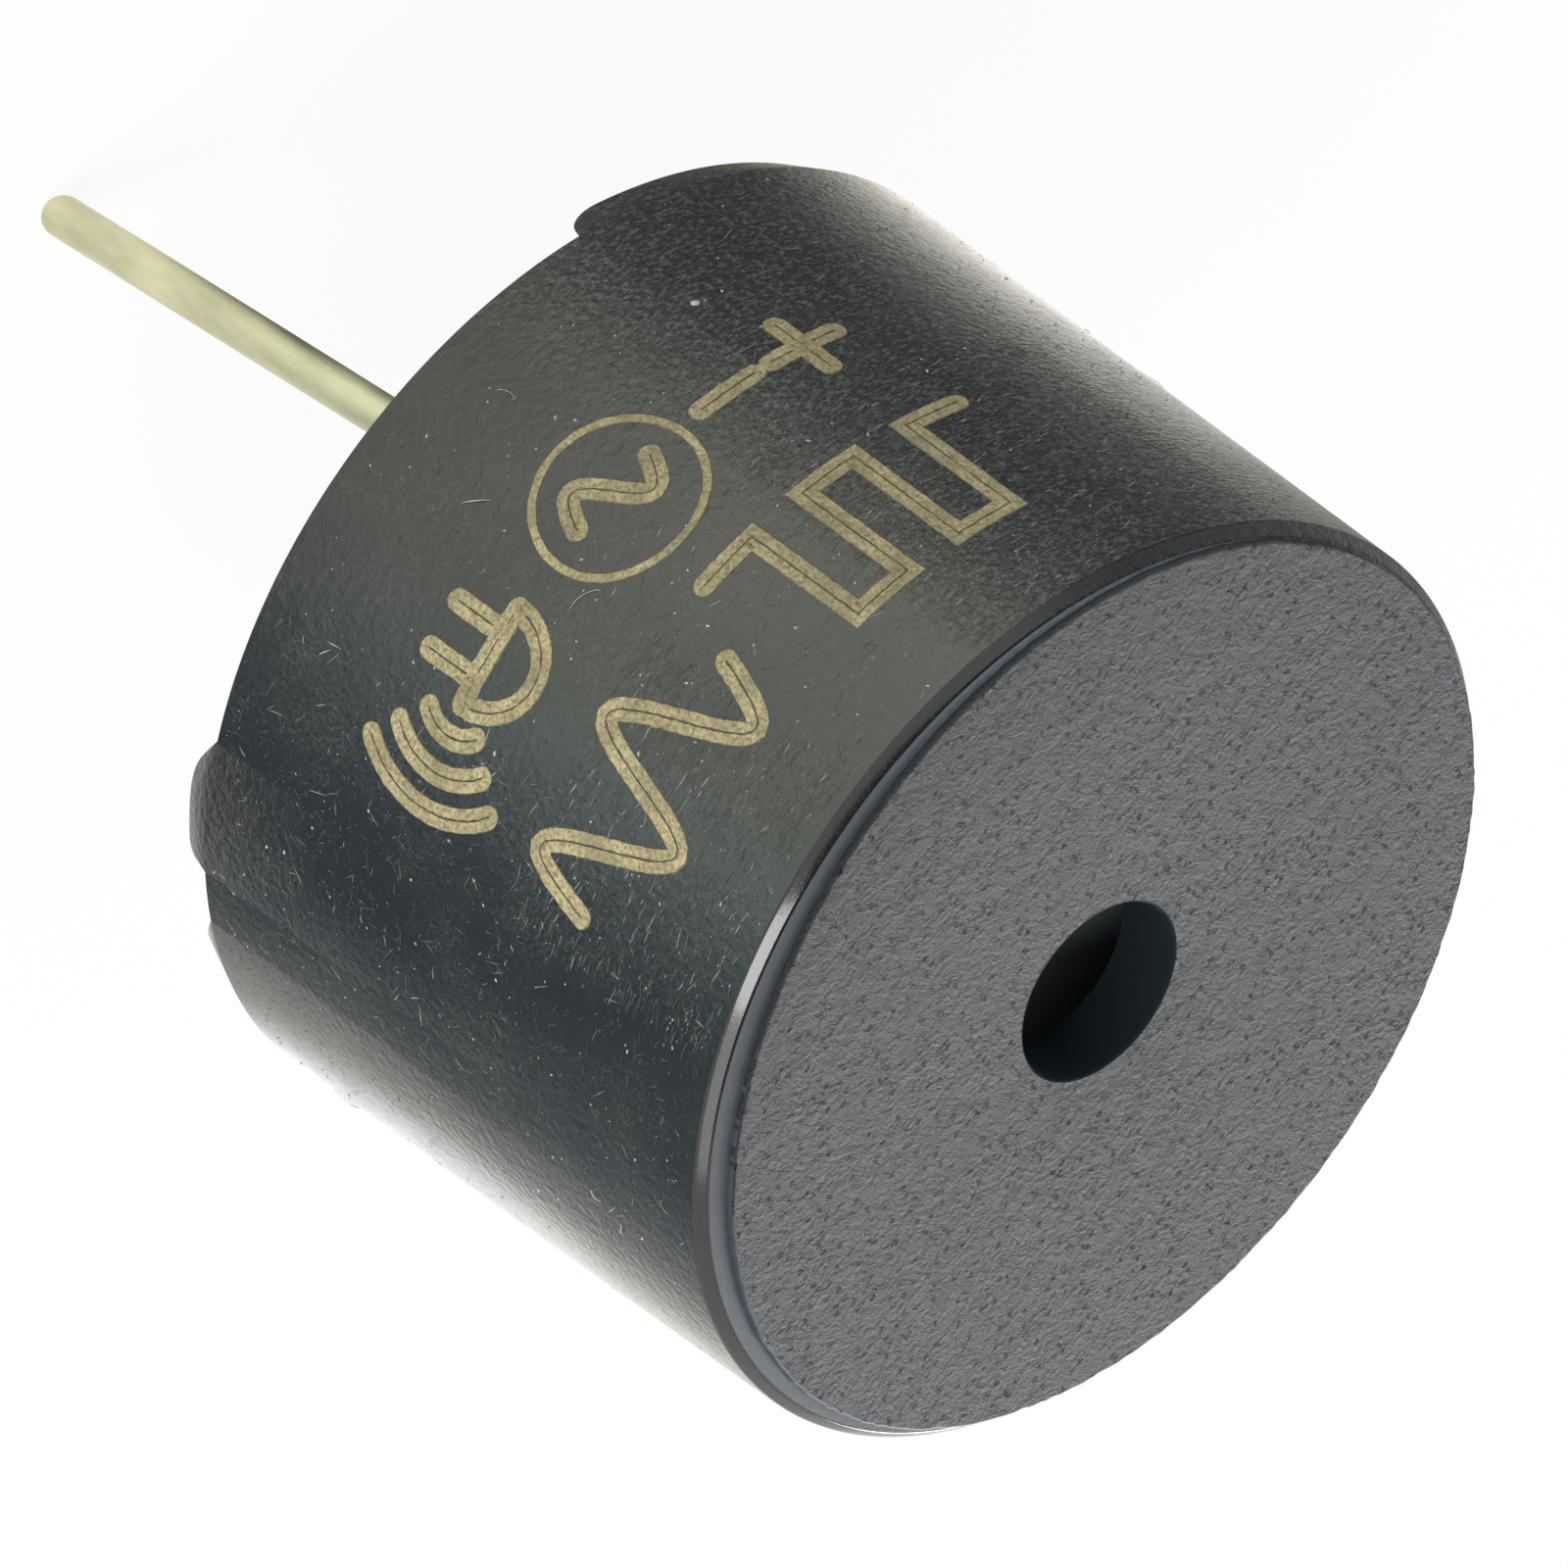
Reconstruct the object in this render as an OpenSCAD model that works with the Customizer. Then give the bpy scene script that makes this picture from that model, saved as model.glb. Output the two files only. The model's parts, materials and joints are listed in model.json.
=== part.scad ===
// Magnetic buzzer for a circuit board: a drafted round case with a sound port in its face,
// a ring magnet drive unit under a steel diaphragm, a small driver board, and two pins in
// a potted base. Z = 0 is the seating plane under the feet, the face is up and the pins
// point down. The long positive pin is on +X.

/* [Case] */
// Outside diameter at the face end of the side wall
case_d = 12; // [11.6:0.1:14]
// Height from the seating plane to the sounding face
case_h = 9.1; // [9:0.1:10]
// Draft of the side wall, in degrees: the base is wider than the face
draft = 1.12; // [0:0.02:1.6]
// Side wall thickness at the face end
wall_t = 0.7; // [0.6:0.05:0.8]
// Thickness of the roof around the sound port
roof_t = 0.9; // [0.7:0.05:1]
// Chamfer between side wall and face
edge_c = 0.12; // [0.06:0.02:0.2]
// Width of the smooth band around the raised face disc
band_w = 0.2; // [0.1:0.05:0.4]
// Height of the raised face disc above that band
disc_h = 0.1; // [0.04:0.01:0.15]
// Diameter of the sound port
port_d = 2.33; // [1.5:0.01:3]

/* [Feet] */
// Height of the standoff feet under the rim
foot_h = 0.52; // [0.3:0.02:0.6]
// How far the feet taper in from the rim to the seating plane
foot_inset = 0.21; // [0:0.01:0.3]
// Half width of the gap in the feet beside each pin
pin_gap = 3; // [2.2:0.1:3.4]
// Extra width of the positive pin's gap on the small foot's side
key_gap = 1.1; // [0.2:0.1:1.1]
// Angle from the positive pin to the narrow gap beside the small foot
vent_angle = 62.5; // [60:0.5:80]
// Width of that narrow gap at the rim
vent_w = 0.65; // [0.3:0.05:1]

/* [Pins] */
// Distance between the two pins
pin_pitch = 7.6; // [7:0.1:7.8]
// Diameter of the tinned pins
pin_d = 0.52; // [0.4:0.02:0.56]
// Length of the positive pin below the seating plane
long_pin = 6.9; // [5:0.1:12]
// Length of the negative pin below the seating plane
short_pin = 5.4; // [3:0.1:10]

/* [Drive unit] */
// Height of the chamber between the diaphragm ring and the roof
chamber_h = 1.15; // [0.9:0.05:1.2]
// Height of the plastic ring that carries the diaphragm
ring_h = 3.2; // [3:0.05:3.25]
// Thickness of the steel yoke plate
yoke_t = 0.6; // [0.4:0.05:0.65]
// Diameter of the pole core
core_d = 1.8; // [1.4:0.1:2]
// Air gap between the pole core and the diaphragm
air_gap = 0.25; // [0.15:0.05:0.4]
// Thickness of the diaphragm
foil_t = 0.08; // [0.05:0.01:0.12]

/* [Board and potting] */
// Thickness of the driver board
board_t = 0.8; // [0.6:0.05:0.8]
// Depth of the potting surface inside the rim
pot_recess = 0.28; // [0.1:0.02:0.3]

/* [Hidden] */
$fn = 96;
over = 1; // how far a cutter runs past the face it opens

// Case: radii and levels
face_r = case_d / 2;
band_z = case_h - disc_h;
wall_top_z = band_z - edge_c;
rim_r = face_r + (wall_top_z - foot_h) * tan(draft);
foot_r = rim_r - foot_inset;
bore_r = face_r - wall_t;
disc_r = face_r - edge_c - band_w;
disc_round = 0.03;
port_r = port_d / 2;
roof_z = case_h - roof_t;
step_w = 0.55;
chamber_r = bore_r - step_w;
step_z = roof_z - chamber_h;

// Feet: how far an end leans over the foot's height, and its rounding at the seat
broad_end = [0.1, 0.9 * foot_h];
key_end = [0.35, 0.9 * foot_h];
vent_low_end = [0, 0.35 * foot_h];
vent_high_end = [0.5, 0.2 * foot_h];
vent_skew = 32.5; // how far the narrow gap's walls are turned from radial
vent_at = rim_r * sin(vent_skew);

// Drive unit: levels from the diaphragm ring down, radii from the bore in
slip = 0.05;
lip_h = 0.35;
ring_w = 1.2;
ring_z = step_z - ring_h;
seat_z = step_z - lip_h;
ring_r = bore_r - slip;
foil_r = chamber_r - slip;
magnet_r = bore_r - ring_w;
magnet_wall = 1;
magnet_drop = 0.5;
magnet_bevel = 0.12;
magnet_h = ring_h - lip_h - magnet_drop;
core_r = core_d / 2;
core_bevel = 0.08;
core_top_z = seat_z - air_gap;
armature_r = 1.6;
armature_t = 0.25;
yoke_z = ring_z - yoke_t;
board_z = yoke_z - board_t;
board_r = bore_r - 2 * slip;

// Windings: both sit round the core, one turn of wire to a ridge
wire_d = 0.12;
coil_z = ring_z + slip;
coil_h = magnet_h - 2 * slip;
turns = floor(coil_h / wire_d);
drive_r = 1.85;
feedback_r = 2.55;

// Leads: one hole for each winding, between the coil and the magnet
lead_r = 0.06;
lead_gap = 0.1;
lead_at = feedback_r + lead_gap;
lead_spread = 0.08;
lead_hole_r = 0.3;
lead_hole_at = feedback_r + lead_hole_r;
lead_angles = [45, 135];
lead_pad_r = 0.55;
dome_h = 0.3;

// Board parts hang under the board
track_t = 0.05;
track_w = 0.25;
track_z = board_z - track_t;
land_side = 0.2;
land_end = 0.3;
pad_r = 0.75;
rivet_r = 1.15;
rivet_h = 0.2;
rivet_bevel = 0.1;
resistor = [2, 1.25, 0.5];
resistor_y = 2.55;
cap_w = 0.4;
transistor = [2.9, 1.3, 0.95];
transistor_y = -2.75;
leg_w = 0.42;
leg_t = 0.12;
leg_reach = 0.5;
leg_stub = 0.1;
leg_pitch = 0.95;
chip_gap = 0.08;
chip_slope = 0.1;
chip_h = transistor[2] - chip_gap;
chip_mid = chip_gap + chip_h / 2;

// Pins, each with a swaged collar in the potting, and the solder cones round them
pin_r = pin_d / 2;
shank_r = pin_r + 0.04;
collar_r = pin_r + 0.2;
collar_h = 0.6;
pin_x = pin_pitch / 2;
cone_h = 0.5;
cone_tip = 0.05;
solder_edge = 0.08;

// Potting: its surface, and how it climbs the wall
pot_z = foot_h + pot_recess;
climb_h = 0.07;
climb_w = 0.5;

// Points along an arc about [x, y]
function arc(x, y, r, from, to, n) =
    [for (i = [0 : n]) let (a = from + (to - from) * i / n) [x + r * cos(a), y + r * sin(a)]];

// ---- case -------------------------------------------------------------------------

// Half section of the case: feet, drafted wall, chamfer, band, raised disc with its edge
// rounded, port, chamber and the step that the diaphragm ring stops on
module case_section() {
    polygon(concat(
        [[bore_r, 0], [foot_r, 0], [rim_r, foot_h], [face_r, wall_top_z],
         [face_r - edge_c, band_z], [disc_r, band_z]],
        arc(disc_r - disc_round, case_h - disc_round, disc_round, 0, 90, 3),
        [[port_r, case_h], [port_r, roof_z], [chamber_r, roof_z], [chamber_r, step_z],
         [bore_r, step_z]]));
}

// Points down one end of a foot, from the rim to below the seat: a leaning line, then the
// rounding. side is -1 or 1, and shape is [lean, rounding]
function foot_end(u, side, shape) =
    let (tilt = atan(shape[0] / foot_h), r = shape[1],
         middle = shape[0] + r * tan((90 - tilt) / 2))
    concat([[u, foot_h]],
           [for (p = arc(middle, r, r, 180 + tilt, 270, 6)) [u + side * p[0], p[1]]],
           [[u + side * middle, -1]]);

// A gap between feet, cut outwards from the bore, from u = a to u = b across its angle
module foot_gap(angle, a, b, shape_a, shape_b) {
    low = foot_end(a, -1, shape_a);
    high = foot_end(b, 1, shape_b);
    n = len(high);
    rotate([0, 0, angle])
        translate([bore_r / 2, 0, 0])
            rotate([90, 0, 90])
                linear_extrude(rim_r)
                    polygon(concat(low, [for (i = [n - 1 : -1 : 0]) high[i]]));
}

module housing() {
    color([0.17, 0.18, 0.19])
        difference() {
            rotate_extrude() case_section();
            foot_gap(0, -pin_gap, pin_gap + key_gap, broad_end, key_end);
            foot_gap(180, -pin_gap, pin_gap, broad_end, broad_end);
            foot_gap(vent_angle - vent_skew, vent_at - vent_w / 2, vent_at + vent_w / 2,
                     vent_low_end, vent_high_end);
        }
}

// ---- diaphragm and magnet ---------------------------------------------------------

module diaphragm() {
    color([0.72, 0.73, 0.74])
        translate([0, 0, seat_z]) cylinder(r = foil_r, h = foil_t);
}

// The weight welded to the middle of the diaphragm
module armature_disc() {
    color([0.5, 0.51, 0.53])
        translate([0, 0, seat_z + foil_t]) cylinder(r = armature_r, h = armature_t);
}

// Plastic ring on the yoke: its ledge carries the diaphragm's edge
module support_ring() {
    inner_r = magnet_r + slip;
    color([0.22, 0.23, 0.24])
        rotate_extrude()
            polygon([[inner_r, ring_z], [ring_r, ring_z], [ring_r, step_z],
                     [chamber_r, step_z], [chamber_r, seat_z], [inner_r, seat_z]]);
}

module magnet_ring() {
    in_r = magnet_r - magnet_wall;
    top_z = ring_z + magnet_h;
    low_z = top_z - magnet_bevel;
    color([0.27, 0.26, 0.25])
        rotate_extrude()
            polygon([[in_r, ring_z], [magnet_r, ring_z], [magnet_r, low_z],
                     [magnet_r - magnet_bevel, top_z], [in_r + magnet_bevel, top_z],
                     [in_r, low_z]]);
}

// Holes in the yoke and the board: the core in the middle, and one for each winding
module lead_holes(z, h) {
    for (a = lead_angles)
        rotate([0, 0, a])
            translate([lead_hole_at, 0, z - over])
                cylinder(r = lead_hole_r, h = h + 2 * over);
}

module yoke_plate() {
    color([0.62, 0.63, 0.66])
        difference() {
            translate([0, 0, yoke_z]) cylinder(r = ring_r, h = yoke_t);
            translate([0, 0, yoke_z - over]) cylinder(r = core_r, h = yoke_t + 2 * over);
            lead_holes(yoke_z, yoke_t);
        }
}

// Core through the yoke and the board, riveted over under the board
module pole_core() {
    color([0.66, 0.67, 0.7])
        rotate_extrude()
            polygon([[0, board_z - rivet_h], [rivet_r - rivet_bevel, board_z - rivet_h],
                     [rivet_r, board_z - rivet_h + rivet_bevel], [rivet_r, board_z],
                     [core_r, board_z], [core_r, core_top_z - core_bevel],
                     [core_r - core_bevel, core_top_z], [0, core_top_z]]);
}

// ---- windings ---------------------------------------------------------------------

// One winding: its outside shows each turn of the last layer as a round ridge
module winding(in_r, out_r) {
    pitch = coil_h / turns;
    ridge_r = pitch / 2;
    base_r = out_r - ridge_r;
    translate([0, 0, coil_z])
        rotate_extrude()
            polygon(concat(
                [[in_r, 0], [base_r, 0]],
                [for (i = [0 : turns - 1], a = [-60, 0, 60])
                    [base_r + ridge_r * cos(a), ridge_r * (1 + sin(a)) + i * pitch]],
                [[base_r, coil_h], [in_r, coil_h]]));
}

module drive_coil() {
    color([0.72, 0.38, 0.2]) winding(core_r + slip, drive_r);
}

module feedback_coil() {
    color([0.66, 0.3, 0.16]) winding(drive_r + slip, feedback_r);
}

// Both ends of each winding run straight down the coil's side, through the yoke and the
// board, into the solder on the board's underside
module coil_leads() {
    low_z = track_z - dome_h / 2;
    start_z = coil_z + 4 * wire_d;
    color([0.75, 0.42, 0.22])
        for (a = lead_angles, side = [-1, 1])
            rotate([0, 0, a])
                translate([lead_at, side * lead_spread, low_z])
                    cylinder(r = lead_r, h = start_z - low_z, $fn = 24);
}

// ---- driver board -----------------------------------------------------------------

module circuit_board() {
    color([0.75, 0.68, 0.42])
        difference() {
            translate([0, 0, board_z]) cylinder(r = board_r, h = board_t);
            translate([0, 0, board_z - over]) cylinder(r = core_r, h = board_t + 2 * over);
            lead_holes(board_z, board_t);
            for (s = [-1, 1])
                translate([s * pin_x, 0, board_z - over])
                    cylinder(r = shank_r, h = board_t + 2 * over);
        }
}

// A flat copper shape under the board
module copper(x, y, w, d) {
    translate([x - w / 2, y - d / 2, track_z]) cube([w, d, track_t]);
}

// Copper under the board: pin lands, part lands, lead lands and two of the tracks
module board_tracks() {
    cap_x = (resistor[0] - cap_w) / 2;
    leg_y = transistor[1] / 2 + leg_reach / 2;
    hole_x = lead_hole_at * cos(lead_angles[0]);
    color([0.8, 0.72, 0.5])
        difference() {
            union() {
                for (s = [-1, 1]) {
                    translate([s * pin_x, 0, track_z]) cylinder(r = pad_r, h = track_t);
                    copper(s * cap_x, resistor_y, cap_w + land_end, resistor[1] + land_side);
                    copper(s * leg_pitch, transistor_y + leg_y, leg_w + land_side,
                           leg_reach + land_end);
                    translate([s * hole_x, hole_x, track_z])
                        cylinder(r = lead_pad_r, h = track_t);
                    copper(s * (hole_x + cap_x) / 2, hole_x + track_w / 2, hole_x - cap_x,
                           track_w);
                }
                copper(0, transistor_y - leg_y, leg_w + land_side, leg_reach + land_end);
            }
            for (s = [-1, 1])
                translate([s * pin_x, 0, track_z - over]) cylinder(r = shank_r, h = 2 * over);
            lead_holes(track_z, track_t);
        }
}

// Moulded transistor body, standing off the board on its legs: its long sides slope to a
// flat band at the legs
module transistor_body() {
    wide = transistor[1] / 2;
    narrow = wide - chip_slope;
    low = (chip_h - leg_t) / 2;
    high = (chip_h + leg_t) / 2;
    color([0.12, 0.12, 0.13])
        translate([-transistor[0] / 2, transistor_y, track_z - chip_gap - chip_h])
            rotate([90, 0, 90])
                linear_extrude(transistor[0])
                    polygon([[-narrow, 0], [narrow, 0], [wide, low], [wide, high],
                             [narrow, chip_h], [-narrow, chip_h], [-wide, high],
                             [-wide, low]]);
}

// One gull-wing leg: flat foot on the land, riser, and a stub against the body's band
module leg(x, side) {
    out_y = transistor[1] / 2;
    riser_y = out_y + leg_stub;
    toe_y = out_y + leg_reach;
    low = -chip_mid - leg_t / 2;
    high = -chip_mid + leg_t / 2;
    translate([x - leg_w / 2, transistor_y, track_z])
        mirror([0, (1 - side) / 2, 0])
            rotate([90, 0, 90])
                linear_extrude(leg_w)
                    polygon([[out_y, low], [riser_y + leg_t, low], [riser_y + leg_t, -leg_t],
                             [toe_y, -leg_t], [toe_y, 0], [riser_y, 0], [riser_y, high],
                             [out_y, high]]);
}

module transistor_leads() {
    color([0.78, 0.78, 0.76]) {
        leg(-leg_pitch, 1);
        leg(leg_pitch, 1);
        leg(0, -1);
    }
}

module resistor_body() {
    w = resistor[0] - 2 * cap_w;
    color([0.15, 0.15, 0.16])
        translate([-w / 2, resistor_y - resistor[1] / 2, track_z - resistor[2]])
            cube([w, resistor[1], resistor[2]]);
}

module resistor_caps() {
    color([0.8, 0.8, 0.78])
        for (s = [-1, 1])
            translate([s * (resistor[0] - cap_w) / 2 - cap_w / 2,
                       resistor_y - resistor[1] / 2, track_z - resistor[2]])
                cube([cap_w, resistor[1], resistor[2]]);
}

// ---- pins, solder and potting -----------------------------------------------------

// Outline of what stands inside the potting at a pin, from a height up to the collar's top
function collar_side(from_z) =
    [[collar_r, from_z], [collar_r, pot_z + collar_h], [shank_r, pot_z + collar_h]];

// A pin: rounded tip, straight wire, swaged collar in the potting, shank through the board
module pin(length) {
    rotate_extrude()
        polygon(concat(
            [[0, yoke_z], [0, -length]],
            arc(0, pin_r - length, pin_r, -75, 0, 5),
            [[pin_r, pot_z]], collar_side(pot_z), [[shank_r, yoke_z]]));
}

module positive_pin() {
    color([0.74, 0.74, 0.6]) translate([pin_x, 0, 0]) pin(long_pin);
}

module negative_pin() {
    color([0.74, 0.74, 0.6]) translate([-pin_x, 0, 0]) pin(short_pin);
}

// Outline of the solder cone round a pin, from the cone's tip up to the land
solder_side = [[shank_r + cone_tip, track_z - cone_h],
               [shank_r + 4 * cone_tip, track_z - cone_h * 0.4],
               [pad_r - solder_edge, track_z]];

module pin_solder(s) {
    translate([s * pin_x, 0, 0])
        rotate_extrude()
            polygon(concat([[shank_r, track_z], [shank_r, track_z - cone_h]], solder_side));
}

// Solder dome that closes a lead hole
module lead_solder(a) {
    r = lead_pad_r - solder_edge;
    rotate([0, 0, a])
        translate([lead_hole_at, 0, track_z])
            rotate_extrude()
                polygon(concat([[0, 0]], [for (t = [90 : -30 : 0])
                    [r * cos(t), -dome_h * sin(t)]]));
}

module solder_joints() {
    color([0.75, 0.76, 0.77]) {
        for (s = [-1, 1]) pin_solder(s);
        difference() {
            for (a = lead_angles) lead_solder(a);
            coil_leads();
        }
    }
}

// What the resin flowed round at one pin: collar, shank and solder cone
module pin_pocket(s) {
    top = board_z + over;
    translate([s * pin_x, 0, 0])
        rotate_extrude()
            polygon(concat([[0, pot_z - over]], collar_side(pot_z - over),
                           [[shank_r, track_z - cone_h]], solder_side,
                           [[pad_r - solder_edge, top], [0, top]]));
}

// Potting from just under the board to just inside the rim, with a meniscus at the wall
module potting() {
    color([0.1, 0.1, 0.11])
        difference() {
            rotate_extrude()
                polygon([[0, track_z], [0, pot_z], [bore_r - climb_w, pot_z],
                         [bore_r - climb_w * 0.4, pot_z - climb_h * 0.3],
                         [bore_r, pot_z - climb_h], [bore_r, track_z]]);
            translate([0, 0, board_z - rivet_h]) cylinder(r = rivet_r, h = over);
            transistor_body();
            transistor_leads();
            translate([-resistor[0] / 2, resistor_y - resistor[1] / 2, track_z - resistor[2]])
                cube([resistor[0], resistor[1], over]);
            for (a = lead_angles) lead_solder(a);
            for (s = [-1, 1]) pin_pocket(s);
        }
}

housing();
diaphragm();
armature_disc();
support_ring();
magnet_ring();
yoke_plate();
pole_core();
drive_coil();
feedback_coil();
coil_leads();
circuit_board();
board_tracks();
transistor_body();
transistor_leads();
resistor_body();
resistor_caps();
positive_pin();
negative_pin();
solder_joints();
potting();
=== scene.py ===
"""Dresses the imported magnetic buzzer: a moulded black case, tinned pins, potting and studio."""

import json
import math
import random

import bmesh
import bpy
from mathutils import Matrix, Vector, noise


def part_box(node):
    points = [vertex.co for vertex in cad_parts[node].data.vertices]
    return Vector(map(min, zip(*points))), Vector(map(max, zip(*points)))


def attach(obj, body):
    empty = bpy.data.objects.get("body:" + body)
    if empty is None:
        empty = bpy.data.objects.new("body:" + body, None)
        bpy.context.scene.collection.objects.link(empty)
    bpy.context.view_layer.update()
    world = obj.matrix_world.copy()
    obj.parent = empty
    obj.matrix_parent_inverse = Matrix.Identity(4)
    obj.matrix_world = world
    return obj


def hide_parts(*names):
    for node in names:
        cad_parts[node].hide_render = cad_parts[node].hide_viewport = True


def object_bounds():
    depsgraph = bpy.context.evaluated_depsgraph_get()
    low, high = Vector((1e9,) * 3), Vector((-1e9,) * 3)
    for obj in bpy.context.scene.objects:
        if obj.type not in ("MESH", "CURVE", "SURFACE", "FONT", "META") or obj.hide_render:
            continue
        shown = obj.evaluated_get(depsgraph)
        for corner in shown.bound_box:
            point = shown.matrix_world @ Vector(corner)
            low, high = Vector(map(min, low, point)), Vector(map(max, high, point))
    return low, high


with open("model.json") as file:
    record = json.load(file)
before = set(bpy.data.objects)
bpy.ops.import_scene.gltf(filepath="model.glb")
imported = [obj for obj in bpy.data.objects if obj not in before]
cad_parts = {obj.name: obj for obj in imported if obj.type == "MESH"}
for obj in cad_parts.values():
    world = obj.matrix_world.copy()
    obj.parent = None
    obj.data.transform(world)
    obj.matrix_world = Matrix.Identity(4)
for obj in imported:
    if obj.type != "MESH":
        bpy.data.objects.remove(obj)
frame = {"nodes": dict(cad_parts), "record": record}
CAD_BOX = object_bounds()

bl_info = {
    "name": "Magnetic Buzzer Dressing",
    "version": (1, 0, 0),
    "blender": (4, 5, 0),
    "location": "View3D > Sidebar > Buzzer",
    "description": "Builds the finish of a board-mount magnetic buzzer round its packed CAD frame",
    "category": "Object",
}

MM = 0.001
CASE_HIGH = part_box("housing")[1]
RIM_R = CASE_HIGH.x / MM
CASE_H = CASE_HIGH.z / MM
POT_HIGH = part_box("potting")[1]
BORE_R = POT_HIGH.x / MM
# Level of the resin in the base in mm, away from what it climbs.
RESIN_Z = 0.8


def linear(hex_colour):
    """An sRGB hex colour as the linear RGB that Blender's colours use."""
    parts = [int(hex_colour[i:i + 2], 16) / 255 for i in (1, 3, 5)]
    return [c / 12.92 if c <= 0.04045 else ((c + 0.055) / 1.055) ** 2.4 for c in parts]


def colour(name, description, hex_colour):
    return bpy.props.FloatVectorProperty(
        name=name, description=description, subtype="COLOR", size=3,
        min=0, max=1, default=linear(hex_colour))


def length(name, description, millimetres):
    return bpy.props.FloatProperty(
        name=name, description=description, default=millimetres, min=0,
        soft_max=4 * millimetres + 1, precision=3, subtype="DISTANCE")


# ---- what a user may change ---------------------------------------------------------


class BuzzerCaseSizes(bpy.types.PropertyGroup):
    """Sizes of the moulded case, in millimetres"""

    face_r: length("Face radius", "Outside radius at the face end of the wall", 6.0)
    edge_c: length("Edge chamfer", "Chamfer between side wall and face", 0.12)
    band_w: length("Band width", "Smooth band round the raised disc, on average", 0.2)
    disc_h: length("Disc height", "How far the face disc stands above the band", 0.1)
    port_r: length("Port radius", "Radius of the sound port", 1.165)
    roof_t: length("Roof", "Thickness of the roof at the port", 0.9)
    chamber_h: length("Chamber height", "Height of the resonance chamber", 1.15)
    chamber_r: length("Chamber radius", "Radius of the resonance chamber", 4.75)
    foot_h: length("Foot height", "Height of the standoff feet", 0.52)
    foot_inset: length("Foot inset", "Taper of the feet towards the seat", 0.21)


class BuzzerMarkSizes(bpy.types.PropertyGroup):
    """Sizes of the laser marking on the side wall, in millimetres"""

    row_h: length("Row height", "Height of one row of signs", 1.8)
    high_row: length("High row", "Height of the upper row's middle above the seat", 6.42)
    low_row: length("Low row", "Height of the lower row's middle above the seat", 3.68)
    pass_w: length("Beam width", "Width of one pass of the beam", 0.125)
    pass_gap: length("Pass offset", "Distance from a stroke's middle to each pass", 0.075)
    lift: length("Lift", "How far the foamed marking stands above the wall", 0.01)
    # The skirt's slope is dark partly from scorch and partly as painted shadow along the raised
    # foam.
    skirt: length("Skirt", "Width of the scorched slope beside each pass", 0.014)


class BuzzerColours(bpy.types.PropertyGroup):
    """Colours of the finishes"""

    case_wall: colour("Wall", "Black moulded wall", "#1c1e1f")
    case_face: colour("Face", "Spark-eroded face", "#343a40")
    marking: colour("Marking", "Laser-foamed marking", "#b3a77c")
    tin: colour("Tin", "Tinned pins", "#cfccae")
    resin: colour("Resin", "Potting resin", "#151617")
    dust: colour("Dust", "Dust and lint", "#c9c9c4")
    floor: colour("Floor", "Studio floor", "#ffffff")


def case_sizes():
    return bpy.context.scene.buzzer_case


def mark_sizes():
    return bpy.context.scene.buzzer_marks


def colours():
    return bpy.context.scene.buzzer_colours


# ---- materials ----------------------------------------------------------------------


def per_mm(size):
    """Texture scale at which one feature of a pattern is this many millimetres."""
    return 1 / (size * MM)


def feed(tree, socket, value):
    """Sets a socket to a value, or links it to a socket or to a node's first output."""
    if isinstance(value, bpy.types.Node):
        value = value.outputs[0]
    if isinstance(value, bpy.types.NodeSocket):
        tree.links.new(value, socket)
    elif socket.type == "RGBA":
        socket.default_value = (*value[:3], 1)
    else:
        socket.default_value = value


def add(tree, kind, inputs=(), **settings):
    """A new node: its settings by name, and its inputs by name or in order, each a value, a
    socket or a node."""
    made = tree.nodes.new(kind)
    for key, value in settings.items():
        setattr(made, key, value)
    for key, value in inputs.items() if isinstance(inputs, dict) else enumerate(inputs):
        feed(tree, made.inputs[key], value)
    return made


def bare_tree(made):
    """The emptied node tree of a new material or world."""
    made.use_nodes = True
    made.node_tree.nodes.clear()
    return made.node_tree


def surface(name, base, **sockets):
    """A material with one Principled BSDF, and its tree, shader and position in the frame."""
    made = bpy.data.materials.new(name)
    made.use_nodes = True
    made.diffuse_color = (*base[:3], 1)
    tree = made.node_tree
    shader = tree.nodes["Principled BSDF"]
    feed(tree, shader.inputs["Base Color"], base)
    for key, value in sockets.items():
        feed(tree, shader.inputs[key.replace("_", " ")], value)
    place = add(tree, "ShaderNodeTexCoord").outputs["Object"]
    return made, tree, shader, place


def tinted(base, factor):
    return [min(1.0, c * factor) for c in base]


def grain(tree, place, size, detail=2.0, stretch=(1, 1, 1), roughness=0.5):
    """Noise whose features are size millimetres, longer where stretch is above 1."""
    scaled = add(tree, "ShaderNodeMapping", {
        "Vector": place, "Scale": [1 / s for s in stretch]})
    return add(tree, "ShaderNodeTexNoise", {
        "Vector": scaled, "Scale": per_mm(size), "Detail": detail, "Roughness": roughness})


def dots(tree, place, spacing, low, high, above):
    """Uneven round dots on a plane facing Z, about spacing millimetres apart: 1 inside a dot,
    0 beyond it. Their size is between low and high, and only cells whose random tone is
    above a level have one."""
    cells = add(tree, "ShaderNodeTexVoronoi", {"Vector": place, "Scale": per_mm(spacing)},
                voronoi_dimensions="2D", feature="F1")
    wobble = add(tree, "ShaderNodeMath", (
        cells.outputs["Distance"], grain(tree, place, spacing * 0.25)), operation="ADD")
    inside = add(tree, "ShaderNodeMapRange", (wobble, 0.5 + low, 0.5 + high, 1, 0))
    chosen = add(tree, "ShaderNodeMapRange", (
        cells.outputs["Color"], above, above + 0.1, 0, 1))
    return add(tree, "ShaderNodeMath", (inside, chosen), operation="MULTIPLY")


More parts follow.
